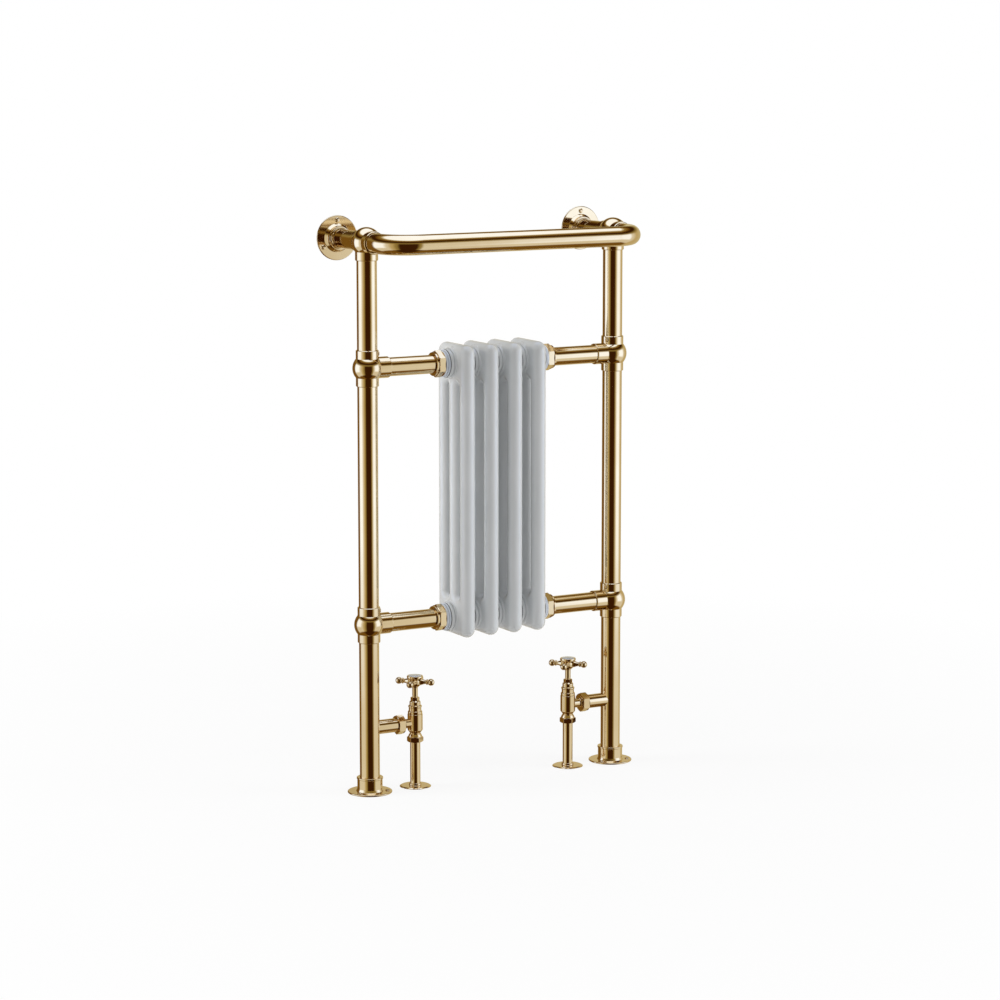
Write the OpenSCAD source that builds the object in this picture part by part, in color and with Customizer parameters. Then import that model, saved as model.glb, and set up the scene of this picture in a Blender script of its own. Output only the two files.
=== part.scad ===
// Traditional towel stand: a floor-standing heated towel rail with a column
// radiator in the middle and a cross-head valve at each foot.
// Millimetres. +Z is up, -Y is the front, +Y is the wall, and the floor is Z = 0.
// Each sided piece is drawn on the left (X < 0) and mirrored for the right.

/* [Frame] */
// Distance between the axes of the two uprights
upright_spacing = 476; // [440:1:640]
// Height from the floor to the top of the towel rail
total_h = 952; // [900:1:1150]
// Outside diameter of the upright tubes
upright_od = 34; // [30:0.5:38]
// Outside diameter of the rungs and wall stays
rung_od = 31.6; // [28:0.2:34]
// Wall of every brass tube
tube_wall = 1.5; // [1:0.1:2]
// Height of the lower rungs above the floor
lower_rung_z = 290; // [250:1:330]
// From the upper rungs up to the axis of the towel rail
rail_gap = 210; // [150:1:300]

/* [Towel rail] */
// Outside diameter of the bent towel rail
rail_od = 34; // [30:0.5:38]
// From the upright axis forward to the rail axis
rail_reach = 95; // [85:1:130]
// Centre-line radius of the two rail bends
rail_bend_r = 50; // [40:1:60]
// From the upright axis back to the wall
wall_reach = 112; // [90:1:150]

/* [Ball fittings] */
// Diameter of the balls on the tees and elbows
ball_d = 50; // [46:1:56]
// Wall of the sockets around the tubes
socket_wall = 2.2; // [1.5:0.1:2.8]
// From the ball centre to the end of an upright socket
tee_reach = 30.5; // [28:0.5:36]
// From the ball centre to the end of a rung or rail socket
side_reach = 38; // [34:0.5:44]
// Depth of the chamfer round the mouth of a socket
mouth_chamfer = 0.9; // [0.4:0.1:1.2]
// From the ball centre to the end of each tube
tube_stop = 17; // [15:0.5:20]
// From the ball centre up to the locking screw in a tee's upper socket
lock_rise = 24.6; // [23:0.2:26]
// Diameter of the head of a locking screw
lock_head_d = 7; // [5:0.2:8]

/* [Flanges] */
// Diameter of the foot and wall flanges
flange_d = 76; // [70:1:90]
// Thickness of the foot and wall flanges
flange_t = 3; // [2:0.5:5]
// Height of the foot socket above the floor
foot_socket_h = 27; // [20:1:40]
// Outside diameter of the foot socket
foot_socket_d = 43; // [40:0.5:47]
// Diameter of the circle that the screw holes lie on
screw_circle_d = 60; // [58:1:66]
// Diameter of each screw hole
screw_hole_d = 4.8; // [3.5:0.1:6]
// Screw holes in each flange
screw_count = 3; // [3:1:4]

/* [Radiator] */
// Distance from one section to the next
section_pitch = 46; // [42:1:50]
// From a hub's axis to the end of its section, above and below
hub_inset = 32.5; // [30:0.5:40]
// Diameter of a column
column_d = 25; // [22:0.5:28]
// Distance from one column to the next, front to back
column_pitch = 37.5; // [35:0.5:42]
// From the top of a section to the crown of the slots between its columns
header_h = 66; // [62:1:80]
// Outside diameter of a hub
hub_d = 50; // [46:1:56]
// Thread diameter inside a hub
hub_bore_d = 36; // [32:0.5:40]

/* [Union fittings] */
// Width across the flats of the radiator union nuts
union_af = 40; // [39:0.5:44]
// Length of the hexagon of a union nut
union_hex_l = 12; // [9:0.5:16]
// Length of the round shoulder behind the hexagon
union_shoulder_l = 4.2; // [3:0.1:7]
// Diameter of the outer ring of a radiator bush
bush_ring_d = 48; // [45:0.5:54]
// Diameter of the inner ring of a radiator bush
bush_step_d = 43; // [41:0.5:46]
// Diameter of the waterway through the bushes
waterway_d = 24; // [18:0.5:26]

/* [Valves] */
// Height of the valve tails above the floor
valve_z = 111; // [100:1:130]
// From the upright axis in to the valve axis
valve_reach = 87; // [80:1:95]
// Diameter of the valve body
valve_body_d = 26; // [24:0.5:30]
// Outside diameter of the tube from the upright to the valve
tail_od = 24; // [20:0.5:26]
// Diameter of the supply pipe
pipe_d = 15; // [14:0.1:16]
// Outside diameter of the sleeve over the supply pipe
sleeve_od = 17.5; // [17:0.1:20]
// Diameter of the floor collar round the sleeve
collar_d = 54; // [44:1:64]
// Diameter of the spindle
spindle_d = 7.6; // [6.5:0.1:8]
// Height of the cross arms above the valve tail
cross_rise = 72; // [70:1:80]
// Height of the index cup's rim above the cross arms
cup_rise = 10.2; // [7:0.2:12]
// From the spindle axis to the centre of each arm's ball
arm_reach = 29; // [26:0.5:34]
// Diameter of the ball at the end of each arm
arm_ball_d = 10.6; // [8:0.2:13]
// Diameter of the porcelain index
index_d = 18.6; // [16:0.2:20]
// How far the spindle rises when the valve is open
valve_lift = 5.25; // [2:0.25:6]

/* [Hidden] */
$fn = 96;

// Clearances and overruns
cut = 1;
fit = 0.05;
seat = 0.02;

// Finishes
brass = "#C9A765";
brass_dark = "#A8864A";
enamel = "#D9DCDD";
porcelain = "#E9EDF2";
rubber = "#3A3A3A";
fibre = "#8A4B32";

// Frame places
upright_x = upright_spacing / 2;
valve_x = upright_x - valve_reach;
rail_z = total_h - rail_od / 2;
upper_rung_z = rail_z - rail_gap;
bore_wall = 2 * tube_wall;
lock_angle = 31;
lock_shank_d = 3.5;
lock_head_h = 2;
lock_dome_h = 0.7;
lock_sink = 0.9;

// Radiator places
section_count = 4;
section_top = upper_rung_z + hub_inset;
section_bottom = lower_rung_z - hub_inset;
stack_half = section_count * section_pitch / 2;
gasket_t = 1;
hub_half = (section_pitch - gasket_t) / 2;
press_step = 0.1;
tube_d = column_d - 2 * press_step;
ridge_d = tube_d - 2 * press_step;
web_t = ridge_d - 2 * press_step;
slot_r = (column_pitch - column_d) / 2 + press_step;
nipple_share = 0.6;
nipple_l = section_pitch * nipple_share;
nipple_wall = 3;
sheet_t = 1.5;

// Union places, measured outward from the end of the radiator
bush_ring_l = 4.6;
bush_step_l = 2.6;
bush_thread_l = 7.5;
bush_thread_d = hub_bore_d;
bush_shank_l = section_pitch / 4;
washer_t = 1.5;
tail_flange_l = 3;
shoulder_step = 1;
bush_end = stack_half + gasket_t / 2 + bush_ring_l + bush_step_l + bush_thread_l;
rung_end = bush_end + washer_t;
nut_start = bush_end - bush_thread_l + fit;

// Foot and wall flange details
rim_r = flange_t / 2;
foot_lip_h = 3.2;
foot_lip_proud = 0.9;
foot_flare_h = 4;
foot_flare_proud = 2;
foot_flare_d = foot_socket_d + 2 * foot_flare_proud;
wall_hub_h = 13;
wall_hub_wall = 4.5;
wall_hub_d = rung_od + 2 * wall_hub_wall;
wall_step_h = 5;
wall_step_wall = 2;
wall_step_d = rung_od + 2 * wall_step_wall;
wall_cone_h = 5;
wall_cone_proud = 4;
wall_cone_d = wall_hub_d + 2 * wall_cone_proud;

// Valve places, from the valve tail's axis unless they say otherwise
body_bottom = -12;
body_top = 16;
shoulder_h = 4;
waist_d = 18.4;
waist_z = -17;
spigot_bottom = -29;
spigot_d = waist_d;
bore_d = 11;
seat_z = -6;
chamber_d = 19;
neck_d = 16;
neck_end = 29.5;
port_d = 12;
tail_union_af = 30;
tail_union_l = 11;
tail_union_start = 23.5;
tail_end = neck_end + seat;
tail_lip_proud = 1;
tail_lip_d = tail_od + 2 * tail_lip_proud;
tail_lip_l = 2.5;
bonnet_skirt_h = 7;
bonnet_h = 23;
bonnet_height_shares = [0.22, 0.28, 0.13, 0.37];
bonnet_width_shares = [0.95, 0.83, 0.89, 0.73];
bonnet_top = body_top + bonnet_h;
gland_h = 6;
gland_af = 13.4;
packing_d = 12;
packing_h = 5;
jumper_d = 15;
jumper_t = 2.4;
jumper_washer_t = 1.6;
jumper_stem_d = 4;
jumper_stem_l = 8;
spindle_thread_d = 10;
spindle_bottom = seat_z + jumper_washer_t + jumper_t + seat;
thread_stop = 2;
spindle_thread_l = bonnet_top - packing_h - thread_stop - valve_lift - spindle_bottom;
hub_drop = 10;
hub_bottom = cross_rise - hub_drop;
hub_flare_h = 2.6;
cup_h = 3.2;
cup_flare_h = 3;
index_dome = 1.6;
cross_hub_d = 15;
cross_neck_d = 10.4;
cup_wall = 1.5;
cup_d = index_d + 2 * cup_wall;
cup_z = cross_rise + cup_rise;
arm_root_d = 8.4;
arm_tip_d = 5;
arm_sink = 1.6;
arm_start = cross_hub_d / 2 - arm_sink;
boss_half = arm_root_d / 2 + 2 * press_step;
arm_ring_d = 7.6;
arm_ring_l = 1.4;
spindle_top = cup_z - cup_h;
comp_nut_af = 24.6;
comp_nut_z = -33;
comp_nut_h = 14;
comp_dome_h = 4.5;
olive_h = 6;
olive_bulge = 0.9;
pipe_wall = 1;
pipe_top = valve_z + body_bottom - shoulder_h;
sleeve_top = valve_z + comp_nut_z - fit;
collar_t = 2.2;
collar_neck_h = 4;
collar_neck_wall = 1.7;
collar_neck_d = sleeve_od + 2 * collar_neck_wall;

// A piece drawn on the left, or its mirror image on the right
module sided(right = false) {
    if (right) mirror([1, 0, 0]) children();
    else children();
}

module tube(od, wall, len) {
    difference() {
        cylinder(d = od, h = len);
        translate([0, 0, -cut]) cylinder(d = od - 2 * wall, h = len + 2 * cut);
    }
}

module hex(af, len) {
    cylinder(d = af / cos(30), h = len, $fn = 6);
}

// Foot flange: a round plate with rounded rim and a socket for the upright
module foot_flange() {
    color(brass)
    translate([-upright_x, 0, 0])
    difference() {
        union() {
            flange_plate();
            cylinder(d = foot_socket_d, h = foot_socket_h);
            translate([0, 0, flange_t])
                cylinder(d1 = foot_flare_d, d2 = foot_socket_d, h = foot_flare_h);
            translate([0, 0, foot_socket_h - foot_lip_h])
                cylinder(d = foot_socket_d + 2 * foot_lip_proud, h = foot_lip_h);
        }
        translate([0, 0, flange_t])
            cylinder(d = upright_od + 2 * fit, h = foot_socket_h);
        screw_holes();
    }
}

module flange_plate() {
    cylinder(d = flange_d - 2 * rim_r, h = flange_t);
    rotate_extrude() translate([flange_d / 2 - rim_r, rim_r]) circle(r = rim_r);
}

module screw_holes() {
    for (i = [0 : screw_count - 1])
        rotate([0, 0, 90 + i * 360 / screw_count])
        translate([screw_circle_d / 2, 0, -cut])
            cylinder(d = screw_hole_d, h = flange_t + 2 * cut);
}

// Lower upright: carries the foot at one end and the valve tail in its side
module lower_upright() {
    color(brass)
    translate([-upright_x, 0, 0])
    difference() {
        translate([0, 0, flange_t + seat])
            tube(upright_od, tube_wall, lower_rung_z - tube_stop - flange_t - seat);
        translate([0, 0, valve_z]) rotate([0, 90, 0])
            cylinder(d = tail_od + 2 * fit, h = upright_od);
    }
}

module middle_upright() {
    color(brass)
    difference() {
        translate([-upright_x, 0, lower_rung_z + tube_stop])
            tube(upright_od, tube_wall, upper_rung_z - lower_rung_z - 2 * tube_stop);
        at_lock_screw(lower_rung_z) lock_hole();
    }
}

module top_upright() {
    color(brass)
    difference() {
        translate([-upright_x, 0, upper_rung_z + tube_stop])
            tube(upright_od, tube_wall, rail_gap - 2 * tube_stop);
        at_lock_screw(upper_rung_z) lock_hole();
    }
}

// Locking screw: turned in from the inner front of a tee's upper socket
module at_lock_screw(z) {
    translate([-upright_x, 0, z + lock_rise]) rotate([0, 90, -lock_angle]) children();
}

module lock_hole() {
    cylinder(d = lock_shank_d + 2 * fit, h = upright_od);
    translate([0, 0, upright_od / 2 + socket_wall - lock_sink])
        cylinder(d = lock_head_d + 2 * fit, h = upright_od);
}

module lock_screw() {
    translate([0, 0, upright_od / 2 - bore_wall])
        cylinder(d = lock_shank_d, h = bore_wall + socket_wall);
    translate([0, 0, upright_od / 2 + socket_wall - lock_sink]) {
        cylinder(d = lock_head_d, h = lock_head_h - lock_dome_h);
        translate([0, 0, lock_head_h - lock_dome_h])
            cylinder(d1 = lock_head_d, d2 = lock_head_d - 3 * lock_dome_h, h = lock_dome_h);
    }
}

module tee_screws() {
    color(brass)
    for (z = [lower_rung_z, upper_rung_z], right = [false, true])
        sided(right) at_lock_screw(z) lock_screw();
}

// One socket of a ball fitting, pointing up from the ball's centre
module socket_form(od, reach) {
    outer = od + 2 * socket_wall;
    cylinder(d = outer, h = reach - mouth_chamfer);
    translate([0, 0, reach - mouth_chamfer])
        cylinder(d1 = outer, d2 = outer - 2 * mouth_chamfer, h = mouth_chamfer);
}

module socket_bore(od, reach) {
    translate([0, 0, tube_stop]) cylinder(d = od + 2 * fit, h = reach);
    cylinder(d = od - 2 * bore_wall, h = reach);
}

// Ball tee: two sockets for the upright and one for the rung
module ball_tee(z) {
    color(brass)
    difference() {
        translate([-upright_x, 0, z]) {
            sphere(d = ball_d);
            socket_form(upright_od, tee_reach);
            mirror([0, 0, 1]) socket_form(upright_od, tee_reach);
            rotate([0, 90, 0]) socket_form(rung_od, side_reach);
        }
        translate([-upright_x, 0, z]) {
            socket_bore(upright_od, tee_reach);
            mirror([0, 0, 1]) socket_bore(upright_od, tee_reach);
            rotate([0, 90, 0]) socket_bore(rung_od, side_reach);
        }
        at_lock_screw(z) lock_hole();
    }
}

// Top elbow: the upright from below, the towel rail in front, the stay behind
module top_elbow() {
    color(brass)
    translate([-upright_x, 0, rail_z])
    difference() {
        union() {
            sphere(d = ball_d);
            mirror([0, 0, 1]) socket_form(upright_od, tee_reach);
            rotate([90, 0, 0]) socket_form(rail_od, tee_reach);
            rotate([-90, 0, 0]) socket_form(rung_od, tee_reach);
        }
        mirror([0, 0, 1]) socket_bore(upright_od, tee_reach);
        rotate([90, 0, 0]) socket_bore(rail_od, tee_reach);
        rotate([-90, 0, 0]) translate([0, 0, tube_stop])
            cylinder(d = rung_od + 2 * fit, h = tee_reach);
    }
}

module wall_stay() {
    color(brass)
    translate([-upright_x, tube_stop, rail_z])
    rotate([-90, 0, 0])
        tube(rung_od, tube_wall, wall_reach - flange_t - seat - tube_stop);
}

// Wall flange: the same plate as the foot with a stepped hub round the stay
module wall_flange() {
    color(brass)
    translate([-upright_x, wall_reach, rail_z])
    rotate([90, 0, 0])
    difference() {
        union() {
            flange_plate();
            cylinder(d = wall_hub_d, h = wall_hub_h);
            translate([0, 0, flange_t])
                cylinder(d1 = wall_cone_d, d2 = wall_hub_d, h = wall_cone_h);
            cylinder(d = wall_step_d, h = wall_hub_h + wall_step_h);
        }
        translate([0, 0, flange_t])
            cylinder(d = rung_od + 2 * fit, h = wall_hub_h + wall_step_h);
        screw_holes();
    }
}

// Towel rail: one tube with a quarter bend near each end
module rail_form(d, extra) {
    for (right = [false, true]) sided(right)
    translate([-upright_x, 0, rail_z]) {
        translate([0, extra - tube_stop, 0]) rotate([90, 0, 0])
            cylinder(d = d, h = rail_reach - rail_bend_r - tube_stop + extra);
        translate([rail_bend_r, rail_bend_r - rail_reach, 0]) rotate([0, 0, 180])
            rotate_extrude(angle = 90) translate([rail_bend_r, 0]) circle(d = d);
    }
    translate([rail_bend_r - upright_x, -rail_reach, rail_z]) rotate([0, 90, 0])
        cylinder(d = d, h = upright_spacing - 2 * rail_bend_r);
}

module towel_rail() {
    color(brass)
    difference() {
        rail_form(rail_od, 0);
        rail_form(rail_od - 2 * tube_wall, cut);
    }
}

// Rung: a tube whose inner end has a flange that the union nut draws in
module rung(z) {
    len = upright_x - tube_stop - rung_end;
    color(brass)
    translate([tube_stop - upright_x, 0, z]) rotate([0, 90, 0])
    difference() {
        union() {
            cylinder(d = rung_od, h = len);
            translate([0, 0, len - tail_flange_l])
                cylinder(d = bush_thread_d - 2 * fit, h = tail_flange_l);
        }
        translate([0, 0, -cut]) cylinder(d = rung_od - 2 * tube_wall, h = len + 2 * cut);
    }
}

// The four unions between the rungs and the radiator
module at_each_union() {
    for (z = [lower_rung_z, upper_rung_z], right = [false, true])
        sided(right) translate([0, 0, z]) rotate([0, -90, 0]) children();
}

module radiator_union_nuts() {
    thread_l = bush_thread_l + washer_t + tail_flange_l;
    color(brass)
    at_each_union() translate([0, 0, nut_start])
    difference() {
        union() {
            hex(union_af, union_hex_l);
            cylinder(d = union_af - shoulder_step, h = union_hex_l + union_shoulder_l);
        }
        translate([0, 0, -cut]) cylinder(d = bush_thread_d + 2 * fit, h = thread_l + cut);
        cylinder(d = rung_od + 2 * fit, h = union_hex_l + union_shoulder_l + cut);
    }
}

module radiator_union_washers() {
    color(fibre)
    at_each_union() translate([0, 0, bush_end])
        tube(bush_thread_d - 2 * fit, (bush_thread_d - waterway_d) / 2 - fit, washer_t);
}

// Bush: a stepped reducer screwed into the end hub
module radiator_bushes() {
    color(enamel)
    at_each_union() translate([0, 0, stack_half + gasket_t / 2])
    difference() {
        union() {
            cylinder(d = bush_ring_d, h = bush_ring_l);
            cylinder(d = bush_step_d, h = bush_ring_l + bush_step_l);
            cylinder(d = bush_thread_d, h = bush_ring_l + bush_step_l + bush_thread_l);
            translate([0, 0, -bush_shank_l])
                cylinder(d = hub_bore_d - 2 * fit, h = bush_shank_l + cut);
        }
        translate([0, 0, -bush_shank_l - cut])
            cylinder(d = waterway_d, h = bush_shank_l + bush_end);
    }
}

// Radiator section: three columns between an upper and a lower header, all of
// sheet; the inset is nothing for the outside and the sheet's thickness for the inside
module header(z, up, inset) {
    web = header_h - column_d / 2 + slot_r;
    translate([0, 0, z]) {
        rotate([90, 0, 0])
            cylinder(d = ridge_d - 2 * inset, h = 2 * column_pitch, center = true);
        for (y = [-column_pitch, column_pitch])
            translate([0, y, 0]) sphere(d = column_d - 2 * inset);
        difference() {
            translate([0, 0, -up * (web - inset) / 2])
                cube([web_t - 2 * inset, 2 * column_pitch, web - inset], center = true);
            for (y = [-column_pitch / 2, column_pitch / 2])
                translate([0, y, -up * web]) rotate([0, 90, 0])
                    cylinder(r = slot_r + inset, h = column_d + 2 * cut, center = true);
        }
    }
}

module columns_and_headers(inset) {
    low = section_bottom + column_d / 2;
    high = section_top - column_d / 2;
    for (y = [-column_pitch, column_pitch])
        translate([0, y, low]) cylinder(d = tube_d - 2 * inset, h = high - low);
    translate([0, 0, low + column_d])
        cylinder(d = tube_d - 2 * inset, h = high - low - 2 * column_d);
    header(high, 1, inset);
    header(low, -1, inset);
}

module section(i) {
    color(enamel)
    translate([(i - (section_count - 1) / 2) * section_pitch, 0, 0])
    difference() {
        union() {
            columns_and_headers(0);
            for (z = [lower_rung_z, upper_rung_z])
                translate([0, 0, z]) rotate([0, 90, 0])
                    cylinder(d = hub_d, h = 2 * hub_half, center = true);
        }
        columns_and_headers(sheet_t);
        for (z = [lower_rung_z, upper_rung_z])
            translate([0, 0, z]) rotate([0, 90, 0])
                cylinder(d = hub_bore_d, h = section_pitch + 2 * cut, center = true);
    }
}

// Threaded nipples and flat gaskets between the sections
module at_each_joint(first, last) {
    for (z = [lower_rung_z, upper_rung_z], i = [first : last])
        translate([(i - section_count / 2) * section_pitch, 0, z])
        rotate([0, 90, 0]) children();
}

module section_nipples() {
    color("silver")
    at_each_joint(1, section_count - 1)
    translate([0, 0, -nipple_l / 2])
        tube(hub_bore_d - 2 * fit, nipple_wall, nipple_l);
}

module section_gaskets() {
    color(rubber)
    at_each_joint(0, section_count)
    translate([0, 0, -gasket_t / 2])
        tube(hub_d - 2 * gasket_t, (hub_d - hub_bore_d) / 2 - gasket_t, gasket_t);
}

// Everything on a valve's own axis, at the height of the valve tail
module at_valve() {
    translate([-valve_x, 0, valve_z]) children();
}

// The same, turned so that +Z runs toward the upright
module toward_upright() {
    at_valve() rotate([0, -90, 0]) children();
}

module valve_tail() {
    len = upright_x - valve_x - tail_end - sqrt(pow(upright_od / 2, 2) - pow(tail_od / 2, 2)) + bore_wall;
    color(brass)
    toward_upright() translate([0, 0, tail_end])
    difference() {
        union() {
            cylinder(d = tail_od, h = len);
            cylinder(d = tail_lip_d, h = tail_lip_l);
        }
        translate([0, 0, -cut]) cylinder(d = tail_od - 2 * tube_wall, h = len + 2 * cut);
    }
}

module valve_union_nuts() {
    lip_end = tail_end + tail_lip_l + fit;
    color(brass)
    for (right = [false, true]) sided(right)
    toward_upright() translate([0, 0, tail_union_start])
    difference() {
        hex(tail_union_af, tail_union_l);
        translate([0, 0, -cut])
            cylinder(d = tail_lip_d + 2 * fit, h = lip_end - tail_union_start + cut);
        cylinder(d = tail_od + 2 * fit, h = tail_union_l + cut);
    }
}

// Valve body: an angle casting with a chamber, a seat, a side neck and a pipe spigot
module valve_body() {
    color(brass)
    difference() {
        union() {
            at_valve() {
                translate([0, 0, body_bottom]) cylinder(d = valve_body_d, h = body_top - body_bottom);
                translate([0, 0, waist_z])
                    cylinder(d1 = waist_d, d2 = valve_body_d, h = body_bottom - waist_z);
                translate([0, 0, spigot_bottom]) cylinder(d = spigot_d, h = waist_z - spigot_bottom);
            }
            toward_upright() {
                cylinder(d = neck_d, h = neck_end);
                translate([0, 0, tail_union_start])
                    cylinder(d = tail_lip_d, h = neck_end - tail_union_start);
            }
        }
        at_valve() {
            translate([0, 0, seat_z]) cylinder(d = chamber_d, h = body_top - seat_z + cut);
            translate([0, 0, spigot_bottom]) cylinder(d = bore_d, h = seat_z - spigot_bottom + cut);
            translate([0, 0, spigot_bottom - cut])
                cylinder(d = pipe_d + 2 * fit, h = pipe_top - valve_z - spigot_bottom + cut);
        }
        toward_upright() cylinder(d = port_d, h = neck_end + cut);
    }
}

// Bonnet: a stepped turning that closes the body and guides the spindle
module bonnet_step(i, z) {
    h = bonnet_h * bonnet_height_shares[i];
    translate([0, 0, z]) cylinder(d = valve_body_d * bonnet_width_shares[i], h = h);
    if (i + 1 < len(bonnet_height_shares)) bonnet_step(i + 1, z + h);
}

module bonnet() {
    color(brass)
    at_valve()
    difference() {
        union() {
            translate([0, 0, body_top - bonnet_skirt_h])
                cylinder(d = chamber_d - 2 * fit, h = bonnet_skirt_h + cut);
            translate([0, 0, seat]) bonnet_step(0, body_top);
        }
        translate([0, 0, body_top - bonnet_skirt_h - cut])
            cylinder(d = spindle_thread_d + 2 * fit, h = bonnet_top - body_top + bonnet_skirt_h - packing_h);
        cylinder(d = spindle_d + 2 * fit, h = bonnet_top + 2 * cut);
        translate([0, 0, bonnet_top - packing_h])
            cylinder(d = packing_d, h = packing_h + 2 * cut);
    }
}

module gland_packing() {
    color(rubber)
    at_valve() translate([0, 0, bonnet_top - packing_h])
        tube(packing_d - 2 * fit, (packing_d - spindle_d) / 2 - 2 * fit, packing_h);
}

module gland_nut() {
    color(brass)
    at_valve() translate([0, 0, bonnet_top + seat])
    difference() {
        hex(gland_af, gland_h);
        translate([0, 0, -cut]) cylinder(d = spindle_d + 2 * fit, h = gland_h + 2 * cut);
    }
}

// Jumper: the plate and washer that close the seat, guided in the spindle's end
module jumper() {
    color(brass_dark)
    at_valve() translate([0, 0, seat_z + seat]) {
        cylinder(d = jumper_d, h = jumper_washer_t + jumper_t - seat);
        cylinder(d = jumper_stem_d, h = jumper_washer_t + jumper_t + jumper_stem_l);
    }
}

module spindle() {
    color(brass)
    at_valve() translate([0, 0, spindle_bottom])
    difference() {
        union() {
            cylinder(d = spindle_d, h = spindle_top - spindle_bottom);
            cylinder(d = spindle_thread_d, h = spindle_thread_l);
        }
        translate([0, 0, -cut])
            cylinder(d = jumper_stem_d + 2 * fit, h = jumper_stem_l + 2 * cut);
    }
}

// Cross handle: a turned hub with a cup for the index and four ball-ended arms
module cross_handle() {
    color(brass)
    at_valve()
    difference() {
        union() {
            translate([0, 0, hub_bottom]) cylinder(d = cross_neck_d, h = cross_rise - hub_bottom);
            translate([0, 0, cross_rise - boss_half - hub_flare_h])
                cylinder(d1 = cross_neck_d, d2 = cross_hub_d, h = hub_flare_h);
            translate([0, 0, cross_rise - boss_half])
                cylinder(d = cross_hub_d, h = cup_z - cup_h - cross_rise + boss_half);
            translate([0, 0, cup_z - cup_h - cup_flare_h])
                cylinder(d1 = cross_hub_d, d2 = cup_d, h = cup_flare_h);
            translate([0, 0, cup_z - cup_h]) cylinder(d = cup_d, h = cup_h);
            for (a = [0 : 90 : 270])
                translate([0, 0, cross_rise]) rotate([0, 90, 45 + a]) cross_arm();
        }
        translate([0, 0, hub_bottom - cut])
            cylinder(d = spindle_d + 2 * fit, h = spindle_top - hub_bottom + cut);
        translate([0, 0, spindle_top]) cylinder(d = index_d + 2 * fit, h = cup_h + cut);
    }
}

module cross_arm() {
    ring_at = arm_reach - arm_ball_d / 2 - arm_ring_l;
    translate([0, 0, arm_start])
        cylinder(d1 = arm_root_d, d2 = arm_tip_d, h = arm_reach - arm_ball_d / 4 - arm_start);
    translate([0, 0, ring_at]) cylinder(d = arm_ring_d, h = arm_ring_l);
    translate([0, 0, arm_reach]) sphere(d = arm_ball_d);
}

// Index: the plain porcelain button in the top of the handle
module index() {
    color(porcelain)
    at_valve() translate([0, 0, spindle_top + seat]) {
        cylinder(d = index_d, h = cup_h - seat);
        translate([0, 0, cup_h - seat])
            cylinder(d1 = index_d, d2 = index_d - 4 * index_dome, h = index_dome);
    }
}

// Compression nuts and olives that hold the supply pipes in the valve bodies
module compression_nuts() {
    color(brass)
    for (right = [false, true]) sided(right)
    at_valve() translate([0, 0, comp_nut_z])
    difference() {
        union() {
            hex(comp_nut_af, comp_nut_h - comp_dome_h);
            translate([0, 0, comp_nut_h - comp_dome_h])
                cylinder(d1 = comp_nut_af, d2 = comp_nut_af - comp_dome_h, h = comp_dome_h);
        }
        translate([0, 0, spigot_bottom - comp_nut_z - olive_h / 2])
            cylinder(d = spigot_d + 2 * fit, h = comp_nut_h + cut);
        translate([0, 0, -cut]) cylinder(d = pipe_d + 2 * fit, h = comp_nut_h + 2 * cut);
    }
}

module olives() {
    color(brass_dark)
    for (right = [false, true]) sided(right)
    at_valve() translate([0, 0, spigot_bottom - olive_h / 2])
        tube(pipe_d + 2 * (fit + olive_bulge), olive_bulge, olive_h / 2 - seat);
}

module supply_pipe() {
    color("peru")
    translate([-valve_x, 0, 0]) tube(pipe_d, pipe_wall, pipe_top - seat);
}

module pipe_sleeve() {
    color(brass)
    translate([-valve_x, 0, 0])
        tube(sleeve_od, (sleeve_od - pipe_d) / 2 - fit, sleeve_top);
}

module floor_collar() {
    color(brass)
    translate([-valve_x, 0, 0])
    difference() {
        union() {
            cylinder(d1 = collar_d, d2 = collar_d - 2 * collar_t, h = collar_t);
            cylinder(d = collar_neck_d, h = collar_t + collar_neck_h);
        }
        translate([0, 0, -cut])
            cylinder(d = sleeve_od + 2 * fit, h = collar_t + collar_neck_h + 2 * cut);
    }
}

foot_flange();  // left_foot_flange
sided(true) foot_flange();  // right_foot_flange
lower_upright();  // left_lower_upright
sided(true) lower_upright();  // right_lower_upright
middle_upright();  // left_middle_upright
sided(true) middle_upright();  // right_middle_upright
top_upright();  // left_top_upright
sided(true) top_upright();  // right_top_upright
ball_tee(lower_rung_z);  // left_lower_tee
sided(true) ball_tee(lower_rung_z);  // right_lower_tee
ball_tee(upper_rung_z);  // left_upper_tee
sided(true) ball_tee(upper_rung_z);  // right_upper_tee
tee_screws();
top_elbow();  // left_top_elbow
sided(true) top_elbow();  // right_top_elbow
wall_stay();  // left_wall_stay
sided(true) wall_stay();  // right_wall_stay
wall_flange();  // left_wall_flange
sided(true) wall_flange();  // right_wall_flange
towel_rail();
rung(lower_rung_z);  // left_lower_rung
sided(true) rung(lower_rung_z);  // right_lower_rung
rung(upper_rung_z);  // left_upper_rung
sided(true) rung(upper_rung_z);  // right_upper_rung
radiator_union_nuts();
radiator_union_washers();
radiator_bushes();
section(0);  // section_1
section(1);  // section_2
section(2);  // section_3
section(3);  // section_4
section_nipples();
section_gaskets();
valve_tail();  // left_valve_tail
sided(true) valve_tail();  // right_valve_tail
valve_union_nuts();
valve_body();  // left_valve_body
sided(true) valve_body();  // right_valve_body
bonnet();  // left_bonnet
sided(true) bonnet();  // right_bonnet
gland_nut();  // left_gland_nut
sided(true) gland_nut();  // right_gland_nut
gland_packing();  // left_gland_packing
sided(true) gland_packing();  // right_gland_packing
jumper();  // left_jumper
sided(true) jumper();  // right_jumper
spindle();  // left_spindle
sided(true) spindle();  // right_spindle
cross_handle();  // left_cross_handle
sided(true) cross_handle();  // right_cross_handle
index();  // left_index
sided(true) index();  // right_index
compression_nuts();
olives();
supply_pipe();  // left_supply_pipe
sided(true) supply_pipe();  // right_supply_pipe
pipe_sleeve();  // left_pipe_sleeve
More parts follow.
